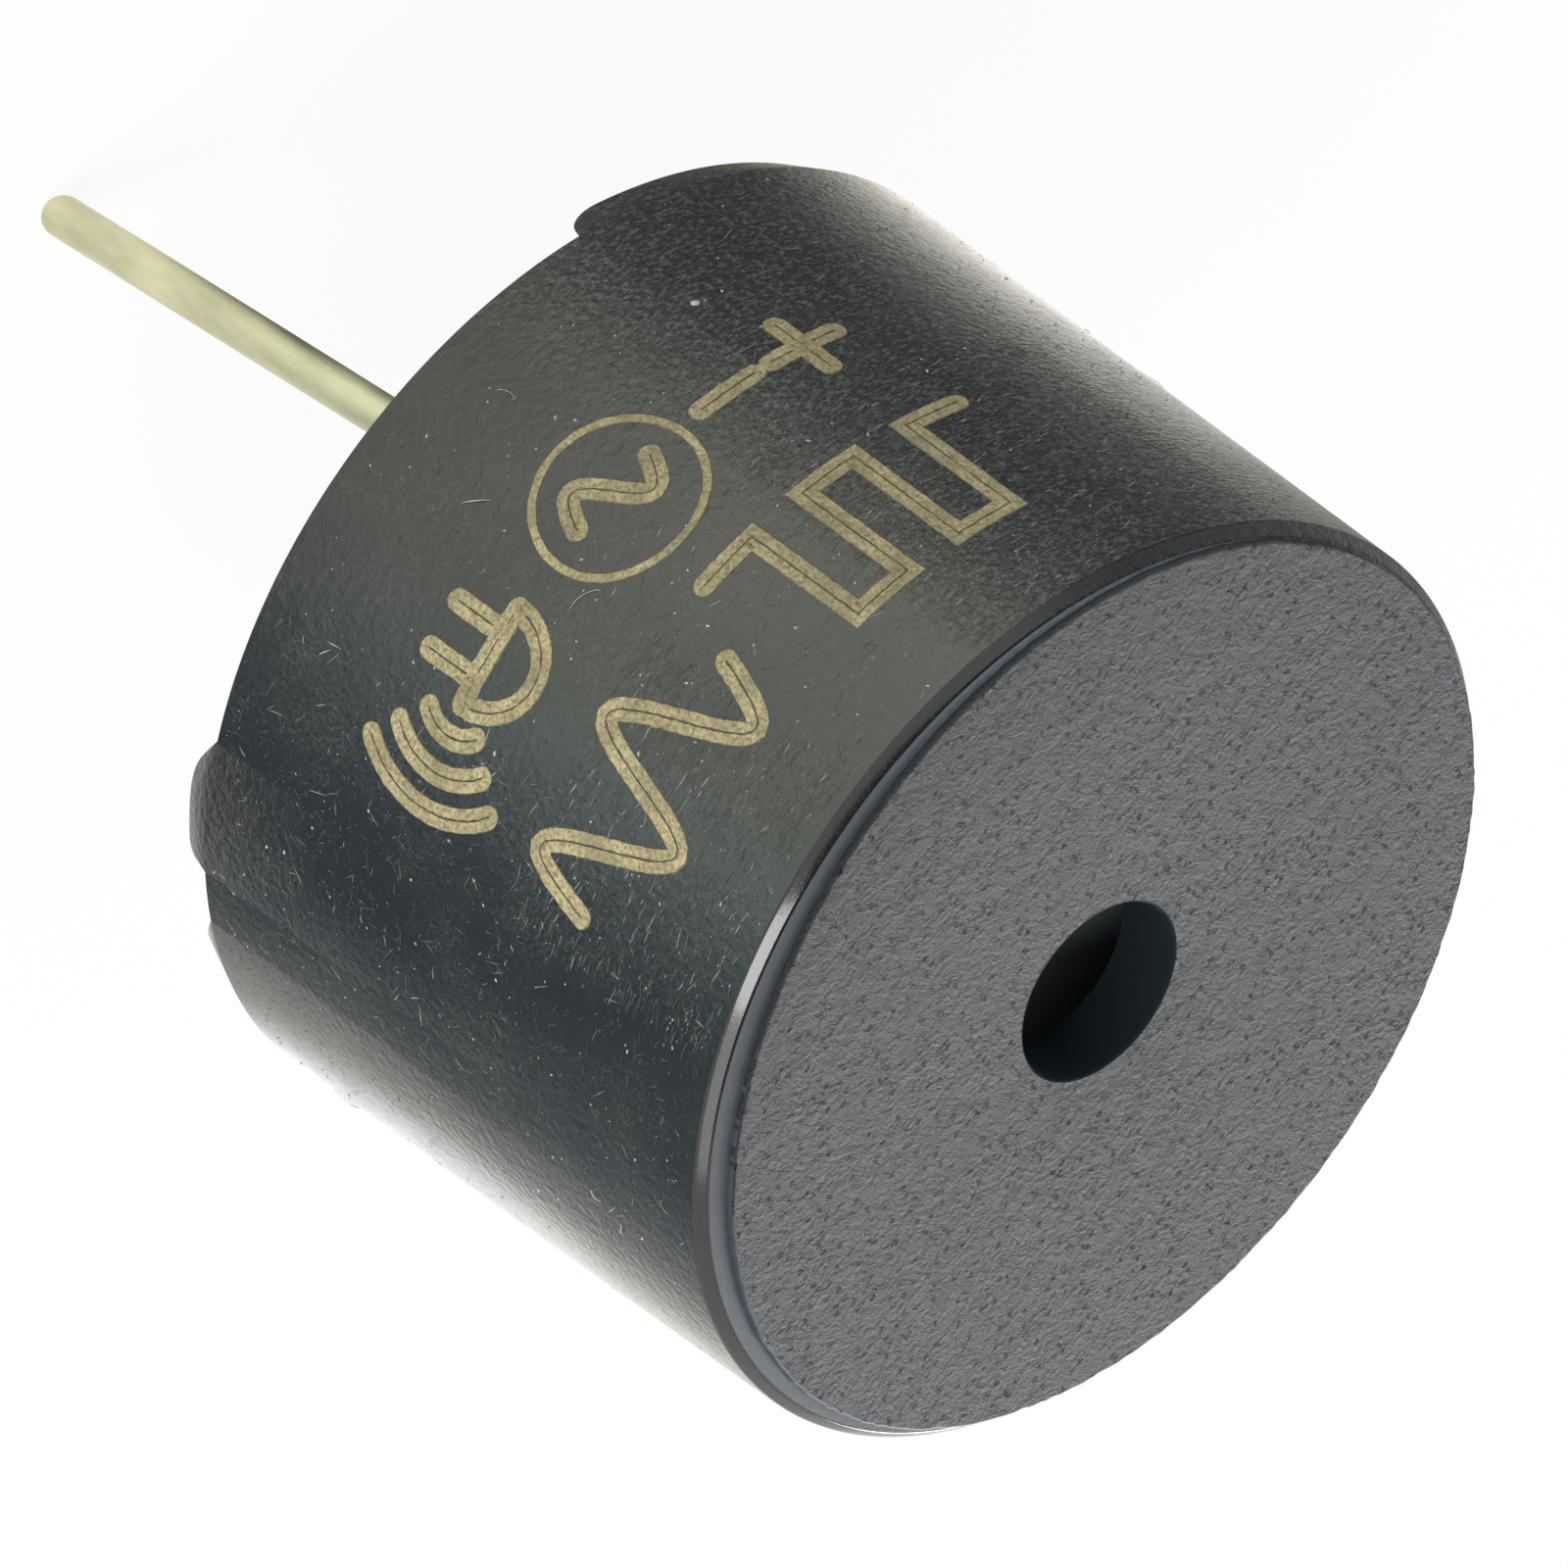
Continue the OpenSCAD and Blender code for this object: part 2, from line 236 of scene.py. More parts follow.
def fade_along_y(tree, place, start, end):
    """A share that goes from 0 to 1 between two places along Y, in mm."""
    across = add(tree, "ShaderNodeSeparateXYZ", (place,)).outputs["Y"]
    return add(tree, "ShaderNodeMapRange", (across, start * MM, end * MM, 0, 1))


def paint(tree, shader, share, low, high):
    """Blends the shader's colour from low to high by a share."""
    feed(tree, shader.inputs["Base Color"], add(tree, "ShaderNodeMixRGB", (share, low, high)))


def vary(tree, shader, socket, pattern, low, high, at_low, at_high):
    """Drives a shader socket by a pattern: at_low up to low, at_high from high."""
    feed(tree, shader.inputs[socket],
         add(tree, "ShaderNodeMapRange", (pattern, low, high, at_low, at_high)))


def relief(tree, shader, heights):
    """Embosses the surface with patterns, each given with its depth in millimetres."""
    normal = None
    for height, depth in heights:
        inputs = {"Height": height, "Distance": depth * MM, "Strength": 1.0}
        if normal:
            inputs["Normal"] = normal
        normal = add(tree, "ShaderNodeBump", inputs)
    feed(tree, shader.inputs["Normal"], normal)


def polished_black_pbt():
    """Glass-filled PBT moulded against a polished tool, then handled: a deep satin black
    with a faint orange peel and a haze where it was rubbed, fretted pale towards -Y."""
    base = colours().case_wall
    made, tree, shader, place = surface(
        "PBT black, moulded and handled", base, Roughness=0.22, IOR=1.6)
    clouds = add(tree, "ShaderNodeMapRange", (
        grain(tree, place, 1.6, 3, roughness=0.6), 0.4, 0.7, 0, 1))
    specks = add(tree, "ShaderNodeMapRange", (
        grain(tree, place, 0.05, 3, roughness=0.6), 0.42, 0.7, 0, 1))
    haze = add(tree, "ShaderNodeMath", (clouds, specks), operation="MULTIPLY")
    worn = fade_along_y(tree, place, -1.2, -2.8)
    fret = add(tree, "ShaderNodeMath", (
        worn, grain(tree, place, 0.06, 3, (1.6, 1.6, 1), 0.65)), operation="MULTIPLY")
    flakes = add(tree, "ShaderNodeMapRange", (
        grain(tree, place, 0.05, 3, (2, 2, 1), 0.65), 0.48, 0.66, 0, 1))
    pale = add(tree, "ShaderNodeMath", (worn, flakes), operation="MULTIPLY")
    hazed = add(tree, "ShaderNodeMixRGB", (haze, base, linear("#3e3f3b")))
    paint(tree, shader, pale, hazed, linear("#5a5c59"))
    vary(tree, shader, "Roughness", haze, 0, 1, 0.18, 0.32)
    relief(tree, shader, [(haze, 0.002), (grain(tree, place, 0.11), 0.013), (fret, 0.025)])
    return made


def spark_eroded_pbt():
    """The same PBT moulded against a spark-eroded tool: a matt grey-black skin, rough at a
    tenth of a millimetre, with sunk pits whose colour is halved as painted shade."""
    base = colours().case_face
    made, tree, shader, place = surface(
        "PBT black, spark-eroded, painted pit shade", base, Roughness=0.5, IOR=1.6)
    grit = grain(tree, place, 0.085, 4, roughness=0.7)
    pits_and_shade = dots(tree, place, 0.17, 0.02, 0.26, 0.55)
    drift = add(tree, "ShaderNodeMapRange", (grain(tree, place, 1.2, 3), 0.3, 0.7, 0, 1))
    tone = add(tree, "ShaderNodeMixRGB", (drift, tinted(base, 0.9), tinted(base, 1.1)))
    # Painted shade: the pits' colour is halved, standing in for the shade that falls into them.
    paint(tree, shader, pits_and_shade, tone, tinted(base, 0.5))
    vary(tree, shader, "Specular IOR Level", pits_and_shade, 0, 1, 0.5, 0.2)
    sunk = add(tree, "ShaderNodeMath", (pits_and_shade, -1), operation="MULTIPLY")
    relief(tree, shader, [(grit, 0.2), (grain(tree, place, 0.35), 0.09), (sunk, 0.015)])
    return made


def edge_band_pbt():
    """PBT from the plain steel of the tool's rim: smooth, semi-matt and faintly scored; towards
    -Y, where it is narrow, its colour is painted paler, as painted light over the disc's shade."""
    base = tinted(colours().case_face, 1.5)
    made, tree, shader, place = surface(
        "PBT black, semi-matt rim, painted light", base, Roughness=0.36, IOR=1.6)
    score = grain(tree, place, 0.07)
    # Painted light: towards -Y the colour is lifted up to 2.4 times, in patches, brightening the
    # narrow band where the disc shades it.
    patchy_painted_light = add(tree, "ShaderNodeMapRange", (score, 0.35, 0.6, 0.5, 1))
    painted_light_share = add(tree, "ShaderNodeMath", (fade_along_y(tree, place, 0.5, -3), patchy_painted_light),
                 operation="MULTIPLY")
    paint(tree, shader, painted_light_share, base, tinted(base, 2.4))
    vary(tree, shader, "Roughness", score, 0.3, 0.7, 0.32, 0.42)
    relief(tree, shader, [(score, 0.003)])
    return made


def chamfer_pbt():
    """PBT from the polished chamfer of the tool: black and glossy, with small nicks, and
    worn dull towards -Y."""
    base = colours().case_wall
    made, tree, shader, place = surface(
        "PBT black, polished chamfer", base, Roughness=0.13, IOR=1.6)
    nick = add(tree, "ShaderNodeMapRange", (
        grain(tree, place, 0.04, 3, roughness=0.7), 0.52, 0.7, 0, 1))
    worn = fade_along_y(tree, place, -2, -3.6)
    fret = add(tree, "ShaderNodeMath", (
        worn, grain(tree, place, 0.08, 3, (1.6, 1.6, 1), 0.65)), operation="MULTIPLY")
    paint(tree, shader, nick, base, linear("#2e302e"))
    vary(tree, shader, "Roughness", nick, 0, 1, 0.12, 0.2)
    vary(tree, shader, "Specular IOR Level", worn, 0, 1, 0.5, 0.22)
    relief(tree, shader, [(nick, 0.0002), (fret, 0.03)])
    return made


def step_pbt():
    """PBT drawn out of the tool along the disc's edge: dull, ragged and dark; it is kept only
    on the side away from the lamps, where its dark colour is painted shade.
    """
    # Painted shade: this dark finish marks the step only where it faces away from the lamps.
    made, tree, shader, place = surface(
        "PBT black, drawn step, painted shade", tinted(colours().case_wall, 1.1), Roughness=0.6, IOR=1.6)
    relief(tree, shader, [(grain(tree, place, 0.06, 3), 0.02)])
    return made


def inside_pbt():
    """The unpolished inside of the case: dull, with a blue-black colour darker than the wall that
    is painted shade.
    """
    # Painted shade: the blue-black colour stands in for the shade in the port and chamber, where
    # little light gets in.
    made, tree, shader, place = surface(
        "PBT black, inside, painted shade", linear("#141e23"), Roughness=0.8, IOR=1.6,
        Specular_IOR_Level=0.15)
    relief(tree, shader, [(grain(tree, place, 0.2), 0.006)])
    return made


def laser_foamed_pbt():
    """PBT foamed by the marking laser: dry, tan, with scorched flecks between the pulses."""
    base = colours().marking
    made, tree, shader, place = surface(
        "PBT laser-foamed", base, Roughness=0.75, IOR=1.45)
    pulses = grain(tree, place, 0.05, 3, roughness=0.65)
    foamed = add(tree, "ShaderNodeMapRange", (pulses, 0.33, 0.62, 0, 1))
    patches = add(tree, "ShaderNodeMapRange", (grain(tree, place, 0.5, 3), 0.35, 0.65, 0, 1))
    tone = add(tree, "ShaderNodeMixRGB", (patches, tinted(base, 0.76), tinted(base, 1.22)))
    paint(tree, shader, foamed, tinted(base, 0.4), tone)
    relief(tree, shader, [(pulses, 0.012)])
    return made


def scorch_and_shadow_pbt():
    """PBT on the slopes beside the laser's pass: browned, not foamed, and dark as painted shadow
    along the raised foam's edge.
    """
    # Painted shadow: the slope's colour, under a quarter of the marking's, draws the dark outline
    # along each pass.
    base = tinted(colours().marking, 0.22)
    made, tree, shader, place = surface("PBT scorched, painted shadow", base, Roughness=0.6, IOR=1.6)
    burn = grain(tree, place, 0.04, 3, roughness=0.65)
    burnt = add(tree, "ShaderNodeMapRange", (burn, 0.35, 0.65, 0, 1))
    paint(tree, shader, burnt, tinted(base, 0.5), tinted(base, 1.6))
    relief(tree, shader, [(burn, 0.006)])
    return made


def tinned_wire():
    """Copper-clad steel wire, drawn and hot-tinned: dull pale metal, yellowed by flux, with
    fine die lines along it."""
    base = colours().tin
    made, tree, shader, place = surface(
        "Tin on drawn wire", base, Metallic=1.0, Roughness=0.36)
    die = grain(tree, place, 0.03, stretch=(1, 1, 40))
    stain = grain(tree, place, 0.45, 3, (1, 1, 2.5))
    stained = add(tree, "ShaderNodeMapRange", (stain, 0.35, 0.68, 0, 1))
    paint(tree, shader, stained, tinted(base, 0.78), tinted(base, 1.1))
    vary(tree, shader, "Roughness", stain, 0.3, 0.7, 0.28, 0.5)
    relief(tree, shader, [(die, 0.003), (grain(tree, place, 0.12), 0.004)])
    return made


def poured_epoxy():
    """Two-part epoxy poured and cured in the base: glossy black, slightly rippled."""
    made, tree, shader, place = surface(
        "Epoxy, poured black", colours().resin, Roughness=0.16, IOR=1.55)
    vary(tree, shader, "Roughness", grain(tree, place, 0.3, 3), 0.3, 0.7, 0.1, 0.26)
    relief(tree, shader, [(grain(tree, place, 1.4), 0.03)])
    return made


def dry_speck(name, base):
    """Dust, lint or whitened scratches: dry, matt, drifting between two tones."""
    made, tree, shader, place = surface(name, base, Roughness=0.9, IOR=1.45)
    drift = add(tree, "ShaderNodeMapRange", (grain(tree, place, 0.15), 0.3, 0.7, 0, 1))
    paint(tree, shader, drift, tinted(base, 0.6), tinted(base, 1.1))
    return made


def metal(name, hex_colour, roughness, grain_mm, stretch, depth):
    """A plain metal with its working marks: grain size in mm, stretched along the marks."""
    base = linear(hex_colour)
    made, tree, shader, place = surface(name, base, Metallic=1.0, Roughness=roughness)
    marks = grain(tree, place, grain_mm, 3, stretch)
    paint(tree, shader, marks, tinted(base, 0.85), tinted(base, 1.1))
    vary(tree, shader, "Roughness", marks, 0.3, 0.7, roughness * 0.8, roughness * 1.25)
    relief(tree, shader, [(marks, depth)])
    return made


def dull_solid(name, hex_colour, roughness, grain_mm, depth, spread=1.3):
    """A plain non-metal: colour drifting between two tones over grain of one size."""
    base = linear(hex_colour)
    made, tree, shader, place = surface(name, base, Roughness=roughness, IOR=1.5)
    speck = grain(tree, place, grain_mm, 4)
    drift = add(tree, "ShaderNodeMapRange", (speck, 0.3, 0.7, 0, 1))
    paint(tree, shader, drift, tinted(base, 1 / spread), tinted(base, spread))
    relief(tree, shader, [(speck, depth)])
    return made


def glass_laminate():
    """Epoxy and woven glass board, bare: straw-coloured, with the weave just showing."""
    base = linear("#b8a35a")
    made, tree, shader, place = surface("Glass-epoxy laminate", base, Roughness=0.45, IOR=1.55)
    warp, weft = (add(tree, "ShaderNodeTexWave", {
        "Vector": place, "Scale": per_mm(0.5) / 6, "Distortion": 1.0},
        bands_direction=way).outputs["Fac"] for way in "XY")
    weave = add(tree, "ShaderNodeMath", (warp, weft), operation="MULTIPLY")
    paint(tree, shader, weave, tinted(base, 0.8), tinted(base, 1.15))
    relief(tree, shader, [(weave, 0.004)])
    return made


# ---- mesh helpers -------------------------------------------------------------------


def piece(name, mesh, body="root"):
    """A new object for a mesh, in the scene and riding on a body."""
    made = bpy.data.objects.new(name, mesh)
    bpy.context.scene.collection.objects.link(made)
    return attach(made, body)


def finished(built, name, *materials, outward=True):
    """The mesh of a bmesh, which is freed, with its materials; outward turns every face out."""
    if outward:
        bmesh.ops.recalc_face_normals(built, faces=built.faces)
    mesh = bpy.data.meshes.new(name)
    built.to_mesh(mesh)
    built.free()
    for material in materials:
        mesh.materials.append(material)
    return mesh


def arc(x, y, r, start, end, steps):
    turn = [math.radians(start + (end - start) * i / steps) for i in range(steps + 1)]
    return [(x + r * math.cos(a), y + r * math.sin(a)) for a in turn]


def revolve(name, outline, segments, closed=True, slots=None):
    """A mesh turned round Z from (radius, height) points in mm; slots gives each side's
    material index. A point at radius 0 closes the surface there."""
    built = bmesh.new()
    rings = []
    for r, z in outline:
        if r < 1e-9:
            rings.append([built.verts.new((0, 0, z * MM))])
            continue
        rings.append([built.verts.new((r * MM * math.cos(a), r * MM * math.sin(a), z * MM))
                      for a in (2 * math.pi * k / segments for k in range(segments))])
    sides = len(rings) if closed else len(rings) - 1
    for i in range(sides):
        low, high = rings[i], rings[(i + 1) % len(rings)]
        if len(low) == 1 and len(high) == 1:
            continue
        for k in range(segments):
            after = (k + 1) % segments
            corners = [low[k % len(low)], low[after % len(low)],
                       high[after % len(high)], high[k % len(high)]]
            corners = list(dict.fromkeys(corners))
            face = built.faces.new(corners)
            face.smooth = True
            if slots:
                face.material_index = slots[i]
    return finished(built, name)


def keep_edges(mesh, degrees):
    """Smooth shading with sharp edges above an angle."""
    for polygon in mesh.polygons:
        polygon.use_smooth = True
    mesh.set_sharp_from_angle(angle=math.radians(degrees))


def prism(outline, x_from, x_to, angle):
    """A closed prism of (y, z) points in mm, drawn out along X and turned about Z."""
    built = bmesh.new()
    ends = [[built.verts.new((x * MM, y * MM, z * MM)) for y, z in outline]
            for x in (x_from, x_to)]
    built.faces.new(list(reversed(ends[0])))
    built.faces.new(ends[1])
    for i in range(len(outline)):
        j = (i + 1) % len(outline)
        built.faces.new((ends[0][i], ends[0][j], ends[1][j], ends[1][i]))
    mesh = finished(built, "cutter")
    mesh.transform(Matrix.Rotation(math.radians(angle), 4, "Z"))
    return mesh


def subtract(mesh, cutters):
    """Cuts the cutters' meshes from a mesh and returns the result."""
    target = bpy.data.objects.new("cut_target", mesh)
    bpy.context.scene.collection.objects.link(target)
    tools = []
    for cutter in cutters:
        tool = bpy.data.objects.new("cut_tool", cutter)
        bpy.context.scene.collection.objects.link(tool)
        tools.append(tool)
        step = target.modifiers.new("cut", "BOOLEAN")
        step.operation = "DIFFERENCE"
        step.solver = "EXACT"
        step.object = tool
    graph = bpy.context.evaluated_depsgraph_get()
    result = bpy.data.meshes.new_from_object(target.evaluated_get(graph))
    for temporary in [target, *tools]:
        bpy.data.objects.remove(temporary)
    return result


# ---- the case -----------------------------------------------------------------------


def wall_top():
    size = case_sizes()
    return CASE_H - size.disc_h - size.edge_c


def wall_radius(z):
    """Outside radius of the drafted wall at a height, in mm."""
    size = case_sizes()
    share = (wall_top() - z) / (wall_top() - size.foot_h)
    return size.face_r + (RIM_R - size.face_r) * share


# Rounds of the case in mm: the disc's and the port's edges, the chamfer into the band, and
# the wall into the chamfer.
DISC_ROUND = 0.03
CREST_ROUND = 0.06
CREASE_ROUND = 0.08

# How far the disc's edge wanders, and over what length, in mm.
FRAY_DEPTH = 0.022
FRAY_LENGTH = 1 / 7

# Where the dark step finish starts, between which angles it dies out, and between which the disc's
# edge takes the lighter band finish, in degrees round from +X: painted shade on the shaded side
# and a painted highlight on the lit edge.
STEP_START = -120
STEP_END = (32, 58)
PAINTED_HIGHLIGHT_EDGE = (60, 150)

# The case's finishes, as material slots.
WALL, FACE, BAND, INSIDE, CHAMFER, STEP = range(6)


def disc_radius():
    size = case_sizes()
    return size.face_r - size.edge_c - size.band_w


def case_outline():
    """Half section of the case as (radius, height) points in mm, each with the finish of the
    side that starts there."""
    size = case_sizes()
    band_z = CASE_H - size.disc_h
    disc_r = disc_radius()
    roof_z = CASE_H - size.roof_t
    step_z = roof_z - size.chamber_h
    half_turn = math.tan(math.pi / 8)
    crest_r = size.face_r - size.edge_c - CREST_ROUND * half_turn
    crease_z = wall_top() - CREASE_ROUND * half_turn
    points = [((BORE_R, 0), WALL), ((RIM_R - size.foot_inset, 0), WALL),
              ((RIM_R, size.foot_h), WALL)]
    points += [(p, CHAMFER) for p in arc(size.face_r - CREASE_ROUND, crease_z, CREASE_ROUND,
                                         0, 45, 6)]
    points += [(p, CHAMFER) for p in arc(crest_r, band_z - CREST_ROUND, CREST_ROUND,
                                         45, 80, 4)]
    points += [((crest_r, band_z), BAND), ((disc_r, band_z), STEP)]
    points += [(p, FACE) for p in arc(disc_r - DISC_ROUND, CASE_H - DISC_ROUND, DISC_ROUND,
                                      0, 90, 3)]
    points += [(p, INSIDE) for p in arc(size.port_r + DISC_ROUND, CASE_H - DISC_ROUND,
                                        DISC_ROUND, 90, 180, 4)]
    points += [((size.port_r, roof_z), INSIDE), ((size.chamber_r, roof_z), INSIDE),
               ((size.chamber_r, step_z), INSIDE), ((BORE_R, step_z), INSIDE)]
    return points


def band_width(degrees):
    """Width of the band in mm, which varies because the disc's insert sat off centre in the
    tool: widest towards 42 degrees, and almost nothing on the far side."""
    swing = max(0.0, math.cos(math.radians(0.8 * (degrees - 42))))
    return 0.035 + 0.29 * swing ** 2.2


def shift_disc(mesh):
    """Gives the disc's edge the band's real width all round, and frays it."""
    size = case_sizes()
    disc_r = disc_radius()
    slack = 0.001
    low_z = (CASE_H - size.disc_h - slack) * MM
    for vertex in mesh.vertices:
        r = math.hypot(vertex.co.x, vertex.co.y) / MM
        if vertex.co.z < low_z or not disc_r - 2 * DISC_ROUND < r < disc_r + slack:
            continue
        a = math.atan2(vertex.co.y, vertex.co.x)
        fray = noise.noise(Vector((disc_r * math.cos(a), disc_r * math.sin(a), 2.7))
                           / FRAY_LENGTH)
        width = max(0.02, band_width(math.degrees(a)) + FRAY_DEPTH * fray)
        vertex.co.xy *= (size.face_r - size.edge_c - width - (disc_r - r)) / r


def paint_step_shade_and_edge_light(mesh):
    """Keeps the dark step finish only on the side away from the lamps, as painted shade: it dies
    out raggedly, and past it the disc's edge takes the smoother band finish, whose lighter
    colour paints a highlight there."""
    draw = random.Random(3)
    for polygon in mesh.polygons:
        a = math.degrees(math.atan2(polygon.center.y, polygon.center.x))
        # Painted shade: the dark step finish stays only on the shaded stretch of the disc's edge.
        if polygon.material_index == STEP:
            if not STEP_START < a < draw.uniform(*STEP_END):
                polygon.material_index = BAND
        # Painted highlight: on the lit stretch, the disc's rounded edge takes the lighter band
        # finish.
        elif polygon.material_index == FACE and polygon.normal.z < 0.97:
            if PAINTED_HIGHLIGHT_EDGE[0] < a < PAINTED_HIGHLIGHT_EDGE[1]:
                polygon.material_index = BAND


def foot_end(u, side, lean, r):
    """Points down one end of a foot, from the rim to below the seat, in mm: a straight end
    that leans by lean and turns into the seat on a radius."""
    size = case_sizes()
    tilt = math.degrees(math.atan(lean / size.foot_h))
    middle = lean + r * math.tan(math.radians((90 - tilt) / 2))
    turn = arc(middle, r, r, 180 + tilt, 270, 8)
    return [(u, size.foot_h), *((u + side * x, z) for x, z in turn), (u + side * middle, -1)]


def foot_gap(angle, low, high, low_end, high_end):
    """The cutter of one gap between feet, from low to high across, in mm; an end is its lean
    and its radius."""
    outline = foot_end(low, -1, *low_end) + foot_end(high, 1, *high_end)[::-1]
    return prism(outline, BORE_R * 0.6, RIM_R * 1.3, angle)


def foot_gaps():
    """The cutters of all the gaps: a broad one at either side, and a narrow skewed vent."""
    height = case_sizes().foot_h
    half_w = 3
    keyed_at = 4.1
    broad = (0.1, 0.9 * height)
    keyed = (0.35, 0.9 * height)
    vent_w = 0.65
    vent_angle = 62.5
    skew = 32.5
    vent_at = RIM_R * math.sin(math.radians(skew))
    return [foot_gap(0, -half_w, keyed_at, broad, keyed),
            foot_gap(180, -half_w, half_w, broad, broad),
            foot_gap(vent_angle - skew, vent_at - vent_w / 2, vent_at + vent_w / 2,
                     (0, 0.35 * height), (0.5, 0.2 * height))]


class BUZZER_OT_case(bpy.types.Operator):
    """Builds the moulded case with its port, band, raised face and standoff feet"""

    bl_idname = "buzzer.case"
    bl_label = "Case"

    def execute(self, context):
        outline, slots = zip(*case_outline())
        mesh = revolve("case_shell", outline, 480, slots=slots)
        shift_disc(mesh)
        paint_step_shade_and_edge_light(mesh)
        for material in (polished_black_pbt(), spark_eroded_pbt(), edge_band_pbt(),
                         inside_pbt(), chamfer_pbt(), step_pbt()):
            mesh.materials.append(material)
        mesh = subtract(mesh, foot_gaps())
        keep_edges(mesh, 24)
        shell = piece("case_shell", mesh)
        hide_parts("housing")
        return {"FINISHED"}


# ---- the laser marking --------------------------------------------------------------


def resample(points, spacing):
    """The same line with extra points, at most spacing apart."""
    dense = [points[0]]
    for a, b in zip(points, points[1:]):
        steps = max(1, math.ceil(math.dist(a, b) / spacing))
        for i in range(1, steps + 1):
            t = i / steps
            dense.append((a[0] + (b[0] - a[0]) * t, a[1] + (b[1] - a[1]) * t))
    return dense


def side_step(points, distance, closed=False):
    """The line moved sideways by a distance, mitred at its corners."""
    moved = []
    last = len(points) - 1
    for i, here in enumerate(points):
        before = points[i - 1] if i > 0 or closed else here
        after = points[(i + 1) % len(points)] if i < last or closed else here
        normals = []
        for a, b in ((before, here), (here, after)):
            run = math.dist(a, b)
            if run > 1e-9:
                normals.append(((a[1] - b[1]) / run, (b[0] - a[0]) / run))
        nx = sum(n[0] for n in normals)
        ny = sum(n[1] for n in normals)
        scale = len(normals) / max(0.5, nx * nx + ny * ny)
        moved.append((here[0] + nx * scale * distance, here[1] + ny * scale * distance))
    return moved


def stroke_loop(points, offset):
    """The closed track of the beam round a stroke: both sides and round ends."""
    loop = side_step(points, offset)
    for end, before in ((points[-1], points[-2]), (points[0], points[1])):
        heading = math.atan2(end[1] - before[1], end[0] - before[0])
        for k in range(1, 6):
            a = heading + math.pi / 2 - math.pi * k / 6
            loop.append((end[0] + offset * math.cos(a), end[1] + offset * math.sin(a)))
        if end == points[-1]:
            loop += side_step(points, -offset)[::-1]
    return loop


def on_wall(u, z, lift):
    """A point of the side wall: u is the way round from +X at the face radius, in mm."""
    a = u / case_sizes().face_r
    r = wall_radius(z) + lift
    return Vector((r * math.cos(a), r * math.sin(a), z)) * MM


def lay_track(built, loop, width, ragged):
    """Adds one closed track of the beam to a mesh, wrapped onto the wall: its foamed top and
    the dark slopes beside it, scorched and painted as shadow."""
    size = mark_sizes()
    loop = [p for i, p in enumerate(loop) if math.dist(p, loop[i - 1]) > 1e-6]
    wander = 0.06 * width
    rows = []
    for side in (-1, 1):
        for reach, lift in ((0, size.lift), (size.skirt, -0.004)):
            line = side_step(loop, side * (width / 2 + reach), closed=True)
            rows.append([built.verts.new(on_wall(u + ragged.uniform(-1, 1) * wander,
                                                 v + ragged.uniform(-1, 1) * wander,
                                                 lift)) for u, v in line])
    inner, inner_foot, outer, outer_foot = rows
    for i in range(len(loop)):
        j = (i + 1) % len(loop)
        for a, b, slot in ((inner, outer, 0), (outer, outer_foot, 1), (inner_foot, inner, 1)):
            built.faces.new((a[i], b[i], b[j], a[j])).material_index = slot


def sine_wave(u, width, height, turns):
    steps = 24 * turns
    return [[(u + width * i / steps, height / 2 * math.sin(2 * math.pi * turns * i / steps))
             for i in range(steps + 1)]]


def pulse_train(u, width, height, count):
    """A row of square pulses on one line."""
    step = width / (2 * count + 1)
    line = [(u, -height / 2)]
    for k in range(count):
        rise, fall = u + (2 * k + 1) * step, u + (2 * k + 2) * step
        line += [(rise, -height / 2), (rise, height / 2), (fall, height / 2),
                 (fall, -height / 2)]
    return [[*line, (u + width, -height / 2)]]


def plus_sign(u, size):
    half = size / 2
    return [[(u, 0), (u + size, 0)], [(u + half, -half), (u + half, -0.02)],
            [(u + half, 0.02), (u + half, half)]]


def minus_sign(u, size):
    return [[(u, 0), (u + size, 0)]]


def sounder_sign(u, width, height):
    """The circuit sign of a sounder: a dome on a bar with two legs."""
    r = width / 2
    dome = arc(u + r, 0, r, 0, 180, 24)
    return [[(u, 0), (u + width, 0)],
            [(x, y * (height / 2) / r) for x, y in dome[1:-1]],
            [(u + r * 0.5, -0.1), (u + r * 0.5, -height / 2)],
            [(u + r * 1.5, -0.1), (u + r * 1.5, -height / 2)]]


def sound_arcs(u, count):
    return [arc(u - 0.5, 0, 0.6 + 0.45 * k, -42, 42, 14) for k in range(count)]


# The ring round the tone sign in mm: its middle, as way round and height above its row's
# middle, and its radius.
RING_CENTRE = (-0.75, 0.1)
RING_R = 1.05


def marking_strokes():
    """Both rows as (height of the row's middle, strokes); a stroke is (way round, up)."""
    size = mark_sizes()
    tall = size.row_h
    high = pulse_train(-4.4, 3.9, tall, 2)
    high += sine_wave(0.05, 3.4, tall, 2)
    low = plus_sign(-4.15, 0.95)
    low += minus_sign(-2.95, 0.8)
    low += sine_wave(-1.35, 1.2, 0.8, 1)
    low += sounder_sign(0.95, 1.25, tall * 0.85)
    low += sound_arcs(2.5, 3)
    return [(size.high_row, high), (size.low_row, low)]


